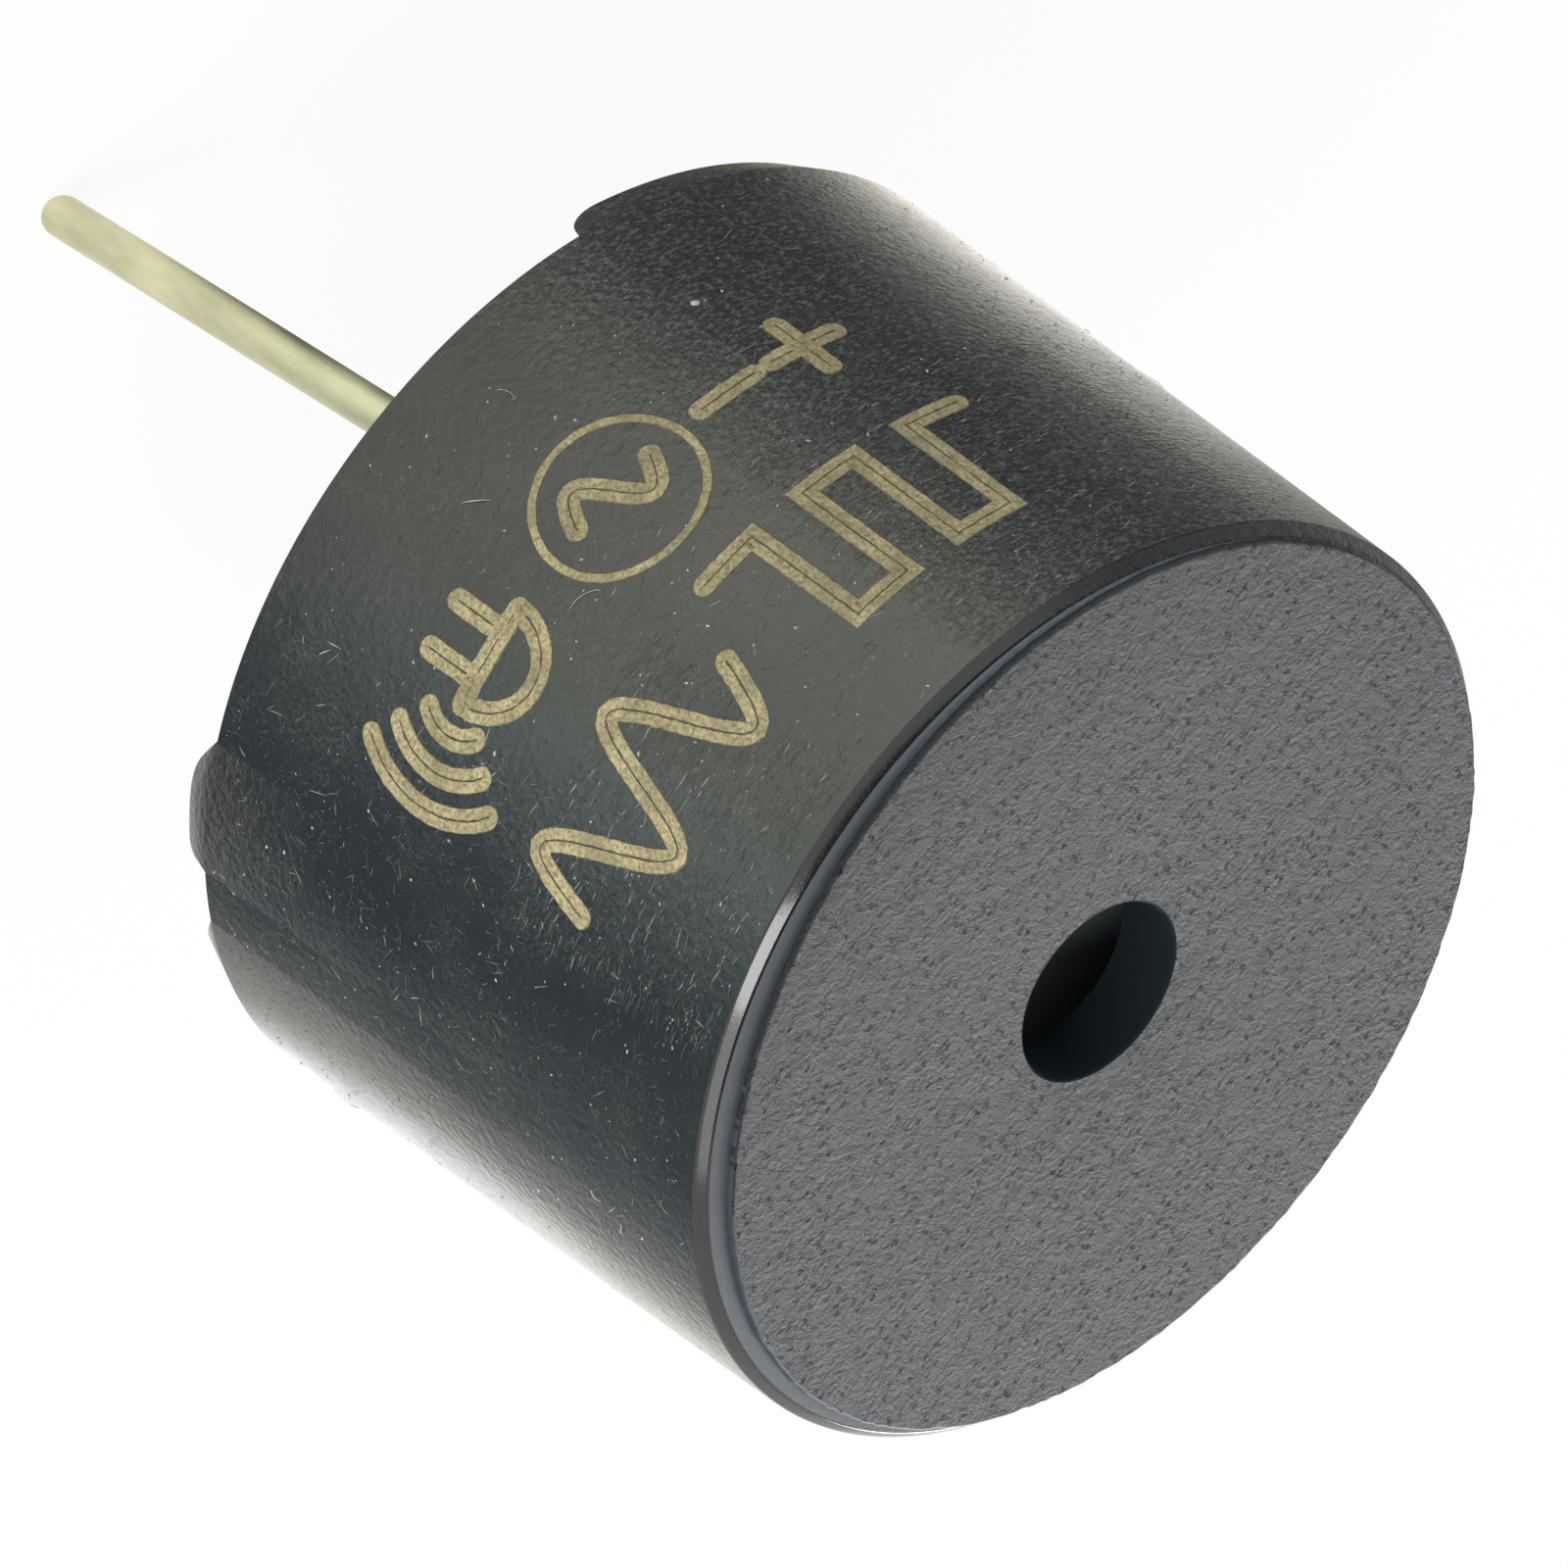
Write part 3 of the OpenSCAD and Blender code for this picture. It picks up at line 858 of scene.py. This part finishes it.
class BUZZER_OT_marking(bpy.types.Operator):
    """Lays generic laser-marked signs, a pulse, a tone and a sounder, on the side wall"""

    bl_idname = "buzzer.marking"
    bl_label = "Laser marking"

    def execute(self, context):
        size = mark_sizes()
        ragged = random.Random(11)
        built = bmesh.new()
        for middle, strokes in marking_strokes():
            for stroke in strokes:
                placed = [(u, v + middle) for u, v in stroke]
                track = stroke_loop(resample(placed, 0.08), size.pass_gap)
                lay_track(built, track, size.pass_w, ragged)
        ring = arc(*RING_CENTRE, RING_R, 0, 355, 71)
        ring = [(u, v + size.low_row) for u, v in ring]
        lay_track(built, ring, size.pass_w * 0.8, ragged)
        mesh = finished(built, "laser_marking", laser_foamed_pbt(), scorch_and_shadow_pbt())
        marking = piece("laser_marking", mesh)
        return {"FINISHED"}


# ---- dust and lint ------------------------------------------------------------------


def wall_frame(u, z, lift):
    """A place on the wall and its directions round, up and out."""
    here = on_wall(u, z, lift)
    a = u / case_sizes().face_r
    out = Vector((math.cos(a), math.sin(a), 0))
    around = Vector((-math.sin(a), math.cos(a), 0))
    return here, around, Vector((0, 0, 1)), out


def fleck(built, draw, u, z, size):
    """One flattened, uneven grain of dust on the wall."""
    here, around, up, out = wall_frame(u, z, 0)
    turn = draw.uniform(0, math.pi)
    long = (around * math.cos(turn) + up * math.sin(turn)) * size * draw.uniform(1, 2.2) * MM
    wide = (around * -math.sin(turn) + up * math.cos(turn)) * size * MM
    high = out * size * 0.7 * MM
    ring = []
    for k in range(6):
        a = 2 * math.pi * k / 6
        reach = draw.uniform(0.7, 1.15)
        ring.append(built.verts.new(here + (long * math.cos(a) + wide * math.sin(a)) * reach))
    top = built.verts.new(here + high)
    base = built.verts.new(here - high * 0.3)
    for k in range(6):
        built.faces.new((ring[k], ring[(k + 1) % 6], top))
        built.faces.new((ring[(k + 1) % 6], ring[k], base))


def fibre(built, draw, u, z, run):
    """One lint fibre lying on the wall: a thin wandering three-sided thread."""
    heading = draw.uniform(0, 2 * math.pi)
    bend = draw.uniform(-2.4, 2.4)
    steps = 9
    thick = draw.uniform(0.004, 0.008)
    rings = []
    for i in range(steps + 1):
        t = i / steps
        here, around, up, out = wall_frame(u, z, thick + 0.02 * math.sin(math.pi * t))
        side = around * -math.sin(heading) + up * math.cos(heading)
        radius = thick * MM * (1 - 0.5 * abs(2 * t - 1))
        rings.append([built.verts.new(here + (side * math.cos(a) + out * math.sin(a)) * radius)
                      for a in (math.radians(d) for d in (90, 210, 330))])
        u += run / steps * math.cos(heading)
        z += run / steps * math.sin(heading)
        heading += bend / steps
    for low, high in zip(rings, rings[1:]):
        for k in range(3):
            j = (k + 1) % 3
            built.faces.new((low[k], low[j], high[j], high[k]))
    built.faces.new(rings[0][::-1])
    built.faces.new(rings[-1])


def scratch(built, draw, u, z, heading, run, wide, slot):
    """One fine scratch on the wall: a flat ribbon that tapers to both ends."""
    steps = 3
    bend = draw.uniform(-0.15, 0.15)
    rows = []
    for i in range(steps + 1):
        t = i / steps
        here, around, up, _ = wall_frame(u, z, 0.002)
        side = around * -math.sin(heading) + up * math.cos(heading)
        half = wide / 2 * MM * (0.2 + 0.8 * math.sin(math.pi * t)) * draw.uniform(0.7, 1.2)
        rows.append((built.verts.new(here - side * half), built.verts.new(here + side * half)))
        u += run / steps * math.cos(heading)
        z += run / steps * math.sin(heading)
        heading += bend / steps
    for low, high in zip(rows, rows[1:]):
        built.faces.new((low[0], high[0], high[1], low[1])).material_index = slot


# Lowest end of a scratch in mm, just above the feet.
SCUFFS_FROM = 0.56

# Where the wall is scuffed: count, degrees round from and to, heights from and to in mm,
# then the scratches' direction from the horizontal and its spread in degrees.
SCUFFS = (
    (6500, -62, -18, 4.6, 8.75, 2, 24),
    (1600, -66, -18, 0.8, 5.0, 6, 50),
    (900, -20, 8, 0.8, 8.75, 5, 60),
    (4200, 2, 38, 5.4, 8.75, -4, 22),
    (2600, 22, 66, 0.6, 5.6, 40, 120),
    (800, 34, 66, 5.2, 8.7, 20, 90),
    (900, 60, 100, 0.6, 8.7, 30, 90),
    (5000, 100, 294, 0.6, 8.75, 10, 70),
)


class BUZZER_OT_scuffs(bpy.types.Operator):
    """Draws the fine whitened scratches of handling on the side wall"""

    bl_idname = "buzzer.scuffs"
    bl_label = "Scuffs"

    def execute(self, context):
        draw = random.Random(23)
        built = bmesh.new()
        top = wall_top()
        for count, start, end, low, high, way, spread in SCUFFS:
            for _ in range(count):
                u = math.radians(draw.uniform(start, end)) * case_sizes().face_r
                z = draw.uniform(low, high)
                heading = math.radians(way + draw.gauss(0, spread / 2))
                run = 0.025 + 0.28 * draw.random() ** 4.5
                if not SCUFFS_FROM < z + run * math.sin(heading) < top - 0.03:
                    continue
                strong = draw.random()
                slot = 0 if strong < 0.72 else 1 if strong < 0.95 else 2
                scratch(built, draw, u, z, heading, run, draw.uniform(0.005, 0.011), slot)
        whitened = [dry_speck("PBT scratched, " + name, linear(tone)) for name, tone in (
            ("faint", "#4c4e4c"), ("plain", "#72746f"), ("bright", "#b4b6b0"))]
        scuffs = piece("wall_scuffs", finished(built, "wall_scuffs", *whitened, outward=False))
        return {"FINISHED"}


# How much dust and lint lies on the wall and between which heights in mm, and one large
# grain: way round, height and size in mm.
DUST_GRAINS = 1700
DUST_HEIGHTS = (0.6, 8.8)
LINT_FIBRES = 40
LINT_HEIGHTS = (1, 8.2)
LARGE_GRAIN = (-3.26, 2.31, 0.055)


class BUZZER_OT_dust(bpy.types.Operator):
    """Scatters dust grains and lint fibres over the side wall"""

    bl_idname = "buzzer.dust"
    bl_label = "Dust and lint"

    def execute(self, context):
        draw = random.Random(5)
        built = bmesh.new()
        around = math.pi * case_sizes().face_r
        for _ in range(DUST_GRAINS):
            size = 0.004 + 0.014 * draw.random() ** 4
            fleck(built, draw, draw.uniform(-around, around), draw.uniform(*DUST_HEIGHTS),
                  size)
        fleck(built, draw, *LARGE_GRAIN)
        for _ in range(LINT_FIBRES):
            fibre(built, draw, draw.uniform(-around, around), draw.uniform(*LINT_HEIGHTS),
                  0.1 + 0.4 * draw.random() ** 2)
        dust = piece("surface_dust", finished(
            built, "surface_dust", dry_speck("Dust and lint", colours().dust)))
        return {"FINISHED"}


# ---- pins and potting ---------------------------------------------------------------


# How much a pin's radius grows in mm where its shank enters the resin.
SHANK_EXTRA = 0.04

# The long pin's lean along Y in mm: its offset at the seat, its slope, and the length of the
# bend under the resin.
LEAN_AT_SEAT = -0.214
LEAN_SLOPE = -0.055
LEAN_BEND = 1.6

# How high the resin climbs the wall and a pin, and over what distance that dies out, in mm.
WALL_CLIMB = (0.16, 0.16)
PIN_CLIMB = (0.14, 0.12)


def wire_radii():
    """Radius of each pin's wire in mm, from the record's mounts."""
    return {m["name"]: m["dims"]["r_mm"] for m in frame["record"]["mounts"]
            if m["kind"] == "pin"}


def pin_outline(low, high, wire_r):
    """Half section of a pin in mm: blunt rounded tip, wire, and the thicker shank."""
    tip = arc(0, low + wire_r, wire_r, -90, 0, 12)
    rise = RESIN_Z - low - wire_r
    wire = [(wire_r, low + wire_r + rise * k / 30) for k in range(1, 31)]
    shank_r = wire_r + SHANK_EXTRA
    return [*tip, *wire, (shank_r, RESIN_Z), (shank_r, high), (0, high)]


def lean(z):
    """How far the handled long pin stands off its axis along Y at a height, both in mm."""
    share = min(1.0, max(0.0, (RESIN_Z - z) / LEAN_BEND))
    return (LEAN_AT_SEAT + LEAN_SLOPE * z) * share * share * (3 - 2 * share)


class BUZZER_OT_pins(bpy.types.Operator):
    """Builds both tinned pins in place of their CAD nodes"""

    bl_idname = "buzzer.pins"
    bl_label = "Pins"

    def execute(self, context):
        tin = tinned_wire()
        for node, wire_r in wire_radii().items():
            low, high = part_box(node)
            centre = (low + high) / 2
            mesh = revolve(node + "_wire", pin_outline(low.z / MM, high.z / MM, wire_r), 64,
                           closed=False)
            for vertex in mesh.vertices:
                off = lean(vertex.co.z / MM) * MM if node == "positive_pin" else 0
                vertex.co += Vector((centre.x, centre.y + off, 0))
            keep_edges(mesh, 40)
            mesh.materials.append(tin)
            wire = piece(node + "_wire", mesh)
            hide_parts(node)
        return {"FINISHED"}


def climb(gap, height, reach):
    """How high the resin stands at a gap from what it climbs, in mm."""
    return height * math.exp(-gap / reach)


def resin_level(x, y, pins):
    """Height of the resin's lower surface in mm: it climbs the wall and each pin, given as
    (x, radius)."""
    sag = climb(BORE_R - math.hypot(x, y), *WALL_CLIMB)
    for pin_x, wire_r in pins:
        gap = max(0.0, math.hypot(x - pin_x, y) - wire_r)
        sag = max(sag, climb(gap, *PIN_CLIMB))
    ripple = 0.012 * noise.noise(Vector((x, y, 3.1)) * 0.9)
    return RESIN_Z - sag + ripple


class BUZZER_OT_potting(bpy.types.Operator):
    """Builds the resin that closes the base, with a meniscus at the wall and the pins"""

    bl_idname = "buzzer.potting"
    bl_label = "Potting"

    def execute(self, context):
        pins = [(sum(corner.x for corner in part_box(node)) / 2 / MM, wire_r)
                for node, wire_r in wire_radii().items()]
        rings = 72
        outline = [(BORE_R * math.sin(math.pi / 2 * i / rings), RESIN_Z)
                   for i in range(rings + 1)]
        outline += [(BORE_R, POT_HIGH.z / MM), (0, POT_HIGH.z / MM)]
        mesh = revolve("potting_resin", outline, 240, closed=False)
        for vertex in mesh.vertices:
            if vertex.co.z < (RESIN_Z + 0.2) * MM:
                vertex.co.z = resin_level(vertex.co.x / MM, vertex.co.y / MM, pins) * MM
        keep_edges(mesh, 50)
        mesh.materials.append(poured_epoxy())
        resin = piece("potting_resin", mesh)
        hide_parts("potting")
        return {"FINISHED"}


# ---- inner parts --------------------------------------------------------------------


def inner_finishes():
    """The finish of each CAD node that stays as it is."""
    iron = metal("Soft iron, turned and zinc-plated", "#a9adb3", 0.34, 0.08, (4, 4, 1), 0.003)
    copper = metal("Enamelled copper wire", "#a8512a", 0.3, 0.05, (6, 6, 1), 0.002)
    tin = metal("Tin-plated land", "#c8c8bd", 0.36, 0.15, (1, 1, 1), 0.003)
    chip = dull_solid("Transfer-moulded epoxy", "#232325", 0.55, 0.08, 0.004)
    return {
        "diaphragm": dull_solid("Spring steel, phosphated", "#b2bfc5", 0.6, 0.06, 0.001, 1.1),
        "armature_disc": iron, "yoke_plate": iron, "pole_core": iron,
        "support_ring": dull_solid("PBT black, moulded ring", "#2a2c2e", 0.5, 0.3, 0.004),
        "magnet_ring": dull_solid("Ferrite, pressed", "#3a3836", 0.6, 0.12, 0.01, 1.5),
        "drive_coil": copper, "feedback_coil": copper, "coil_leads": copper,
        "circuit_board": glass_laminate(), "board_tracks": tin,
        "transistor_body": chip, "resistor_body": chip,
        "transistor_leads": tin, "resistor_caps": tin,
        "solder_joints": metal("Solder, reflowed", "#c4c6c9", 0.2, 0.2, (1, 1, 1), 0.004),
    }


class BUZZER_OT_inner_parts(bpy.types.Operator):
    """Gives every inner CAD part its own finish"""

    bl_idname = "buzzer.inner_parts"
    bl_label = "Inner parts"

    def execute(self, context):
        for node, material in inner_finishes().items():
            mesh = frame["nodes"][node].data
            mesh.materials.clear()
            mesh.materials.append(material)
        return {"FINISHED"}


# ---- studio -------------------------------------------------------------------------


def seen_directly(tree):
    """1 for what the camera sees itself, in a reflection or through glass, 0 for other light."""
    path = add(tree, "ShaderNodeLightPath").outputs
    mirrored = add(tree, "ShaderNodeMath", (path["Is Camera Ray"], path["Is Glossy Ray"]),
                   operation="MAXIMUM")
    return add(tree, "ShaderNodeMath", (mirrored, path["Is Transmission Ray"]),
               operation="MAXIMUM")


def studio_card():
    """White card: lit by the lamps, and seen as plain white apart from a share of shadow."""
    made = bpy.data.materials.new("Studio card")
    tree = bare_tree(made)
    lit = add(tree, "ShaderNodeBsdfDiffuse", {"Color": colours().floor})
    plain = add(tree, "ShaderNodeEmission", {"Color": colours().floor, "Strength": 1.0})
    share = add(tree, "ShaderNodeMath", (seen_directly(tree), 0.9), operation="MULTIPLY")
    add(tree, "ShaderNodeOutputMaterial", (
        add(tree, "ShaderNodeMixShader", (share, lit, plain)),))
    return made


def studio_world(strength):
    """Even white surroundings: plain white to the camera and in reflections."""
    world = bpy.data.worlds.new("studio")
    tree = bare_tree(world)
    level = add(tree, "ShaderNodeMapRange", (seen_directly(tree), 0, 1, strength, 1.0))
    light = add(tree, "ShaderNodeBackground", {"Color": (1, 1, 1), "Strength": level})
    add(tree, "ShaderNodeOutputWorld", (light,))
    bpy.context.scene.world = world


def aim(made, azimuth, elevation, distance, target, turn):
    """Puts a lamp or camera into the scene at an angle round a target and above it, in
    degrees, and at a distance in mm, facing it and turned about its own axis."""
    a, e = math.radians(azimuth), math.radians(elevation)
    away = Vector((math.cos(a) * math.cos(e), math.sin(a) * math.cos(e), math.sin(e)))
    facing = (-away).to_track_quat("-Z", "Y").to_matrix().to_4x4()
    turned = facing @ Matrix.Rotation(math.radians(turn), 4, "Z")
    made.matrix_world = Matrix.Translation((away * distance + Vector(target)) * MM) @ turned
    bpy.context.scene.collection.objects.link(made)


# The lamps: angles round and up in degrees, distance and size across and up in mm, power in
# watts, turn in degrees, and whether reflections see them.
LAMPS = (
    ("back_lamp", 172, 12, 240, (80, 80), 0.26, 0, True),
    ("fill_lamp", 62, 20, 260, (200, 200), 0.22, 0, False),
    ("edge_lamp", 47, 44, 240, (80, 120), 0.26, -13, True),
    ("side_lamp", 82, 42, 240, (130, 60), 0.05, -13, True),
)


def soft_lamp(name, azimuth, elevation, distance, size_mm, power, turn, glossy):
    """An area lamp aimed at the case."""
    data = bpy.data.lights.new(name, "AREA")
    data.shape = "RECTANGLE"
    data.size, data.size_y = (side * MM for side in size_mm)
    data.energy = power
    lamp = bpy.data.objects.new(name, data)
    lamp.visible_glossy = glossy
    aim(lamp, azimuth, elevation, distance, (0, 0, 6), turn)


def studio_camera(azimuth, elevation, roll, distance, target, focal):
    data = bpy.data.cameras.new("studio_camera")
    data.lens = focal
    data.sensor_width = 36
    data.clip_start = 0.01
    data.clip_end = 10
    camera = bpy.data.objects.new("studio_camera", data)
    aim(camera, azimuth, elevation, distance, target, roll)
    bpy.context.scene.camera = camera


# What a floor that is graded round the object shows in reflections, as (degrees, colour):
# under it, close to it and farther out.
MIDDLE_TONES = (
    (-180, "#c0c0b8"), (-140, "#6a6a60"), (-100, "#45453e"), (-60, "#6a6a60"),
    (-25, "#c4c4bc"), (180, "#c0c0b8"),
)
NEAR_TONES = (
    (-180, "#c0c0c0"), (-150, "#ffffff"), (-130, "#fcf8ec"), (-120, "#cccabe"),
    (-105, "#6c6c6a"), (-95, "#46484c"), (-60, "#5c6062"), (-45, "#707478"),
    (-30, "#b4b8ac"), (-10, "#ccd0c0"), (20, "#bcbeb6"), (40, "#80868c"),
    (60, "#687078"), (80, "#4a545e"), (95, "#6a7278"), (130, "#b4b4ac"),
    (145, "#ffffff"), (180, "#c0c0c0"),
)
FAR_TONES = (
    (-180, "#c0c0c0"), (-160, "#b8b0a4"), (-150, "#686258"), (-140, "#8c8880"),
    (-120, "#6c6e6c"), (-105, "#343a40"), (-75, "#626a6a"), (-60, "#74807c"),
    (-50, "#a8b0a0"), (-40, "#f0f8dc"), (-20, "#fefef0"), (15, "#e2ead8"),
    (30, "#e4f4ea"), (40, "#b4cac8"), (50, "#7c969c"), (60, "#5a707a"),
    (90, "#667278"), (110, "#8c9498"), (130, "#b0b0ac"), (150, "#e4e0d8"),
    (180, "#c0c0c0"),
)


def tone_ramp(tree, turn, tones):
    """A ramp of colours round a circle; tones are (degrees, sRGB hex)."""
    made = add(tree, "ShaderNodeValToRGB", {"Fac": turn})
    stops = made.color_ramp.elements
    while len(stops) < len(tones):
        stops.new(1.0)
    for stop, (degrees, hex_colour) in zip(stops, tones):
        stop.position = degrees / 360 + 0.5
        stop.color = (*linear(hex_colour), 1)
    return made.outputs[0]


def glowing_card(name, tone_in, strength):
    """A studio card that reflections see in the tone that a function works out in its tree."""
    made = bpy.data.materials.new(name)
    tree = bare_tree(made)
    glow = add(tree, "ShaderNodeEmission", {"Color": tone_in(tree), "Strength": strength})
    add(tree, "ShaderNodeOutputMaterial", (glow,))
    return made


def graded_tone(tree):
    """The tone of the graded card, by the way round the object and the distance from it."""
    place = add(tree, "ShaderNodeTexCoord").outputs["Object"]
    turn = add(tree, "ShaderNodeTexGradient", (place,), gradient_type="RADIAL").outputs[1]
    reach = add(tree, "ShaderNodeVectorMath", (place,), operation="LENGTH").outputs["Value"]
    close = add(tree, "ShaderNodeMapRange", (reach, 8 * MM, 12 * MM, 0, 1))
    beyond = add(tree, "ShaderNodeMapRange", (reach, 15 * MM, 25 * MM, 0, 1))
    outer = add(tree, "ShaderNodeMixRGB", (
        beyond, tone_ramp(tree, turn, NEAR_TONES), tone_ramp(tree, turn, FAR_TONES)))
    return add(tree, "ShaderNodeMixRGB", (close, tone_ramp(tree, turn, MIDDLE_TONES), outer))


def dark_tone(_tree):
    """The even tone of the ceiling card."""
    return linear("#3a3d40")


def stage_piece(name, mesh, z):
    """A piece of the studio, level at a height in metres."""
    made = bpy.data.objects.new(name, mesh)
    made.location.z = z
    bpy.context.scene.collection.objects.link(made)
    return made


def reflected_card(name, r_in, r_out, z, material):
    """A level round card or ring, with radii in mm. It is a flag: reflections see it, the
    camera and the other light don't."""
    mesh = revolve(name, [(r_in, 0), (r_out, 0)], 96, closed=False)
    mesh.materials.append(material)
    card = stage_piece(name, mesh, z)
    card.visible_camera = False
    card.visible_diffuse = False
    card.visible_shadow = False


class BUZZER_OT_studio(bpy.types.Operator):
    """Lays the white floor under the pins and sets the flags, lamps, world and camera"""

    bl_idname = "buzzer.studio"
    bl_label = "Studio"

    def execute(self, context):
        built = bmesh.new()
        bmesh.ops.create_grid(built, x_segments=1, y_segments=1, size=2.0)
        floor_z = CAD_BOX[0].z
        floor = finished(built, "studio_floor", studio_card(), outward=False)
        stage_piece("studio_floor", floor, floor_z)
        reflected_card("graded_card", r_in=0.5, r_out=80, z=floor_z + 0.05 * MM,
                       material=glowing_card("Graded card", graded_tone, strength=2.0))
        reflected_card("ceiling_card", r_in=0, r_out=205, z=300 * MM,
                       material=glowing_card("Dark card", dark_tone, strength=1.0))
        studio_world(0.45)
        for lamp in LAMPS:
            soft_lamp(*lamp)
        studio_camera(azimuth=5.696, elevation=35.339, roll=125.96, distance=300,
                      target=(-1.8175, 0.0152, 2.5205), focal=590.42)
        context.scene.view_settings.view_transform = "Standard"
        return {"FINISHED"}


# ---- panel and start ----------------------------------------------------------------

PIECES = (BUZZER_OT_case, BUZZER_OT_marking, BUZZER_OT_scuffs, BUZZER_OT_dust,
          BUZZER_OT_pins, BUZZER_OT_potting, BUZZER_OT_inner_parts, BUZZER_OT_studio)


class BUZZER_PT_panel(bpy.types.Panel):
    """Lists the pieces and their sizes"""

    bl_idname = "BUZZER_PT_panel"
    bl_label = "Magnetic buzzer"
    bl_space_type = "VIEW_3D"
    bl_region_type = "UI"
    bl_category = "Buzzer"

    def draw(self, context):
        for made in PIECES:
            self.layout.operator(made.bl_idname)
        for group in ("buzzer_case", "buzzer_marks", "buzzer_colours"):
            values = getattr(context.scene, group)
            box = self.layout.box()
            for key in values.__annotations__:
                box.prop(values, key)


CLASSES = (BuzzerCaseSizes, BuzzerMarkSizes, BuzzerColours, *PIECES, BUZZER_PT_panel)


def register():
    for made in CLASSES:
        bpy.utils.register_class(made)
    bpy.types.Scene.buzzer_case = bpy.props.PointerProperty(type=BuzzerCaseSizes)
    bpy.types.Scene.buzzer_marks = bpy.props.PointerProperty(type=BuzzerMarkSizes)
    bpy.types.Scene.buzzer_colours = bpy.props.PointerProperty(type=BuzzerColours)


def unregister():
    del bpy.types.Scene.buzzer_colours
    del bpy.types.Scene.buzzer_marks
    del bpy.types.Scene.buzzer_case
    for made in reversed(CLASSES):
        bpy.utils.unregister_class(made)


def corners(box):
    return [list(corner) for corner in box]


def main():
    register()
    bpy.ops.buzzer.case()
    bpy.ops.buzzer.marking()
    bpy.ops.buzzer.scuffs()
    bpy.ops.buzzer.dust()
    bpy.ops.buzzer.pins()
    bpy.ops.buzzer.potting()
    bpy.ops.buzzer.inner_parts()
    bpy.ops.buzzer.studio()


if __name__ == "__main__":
    main()
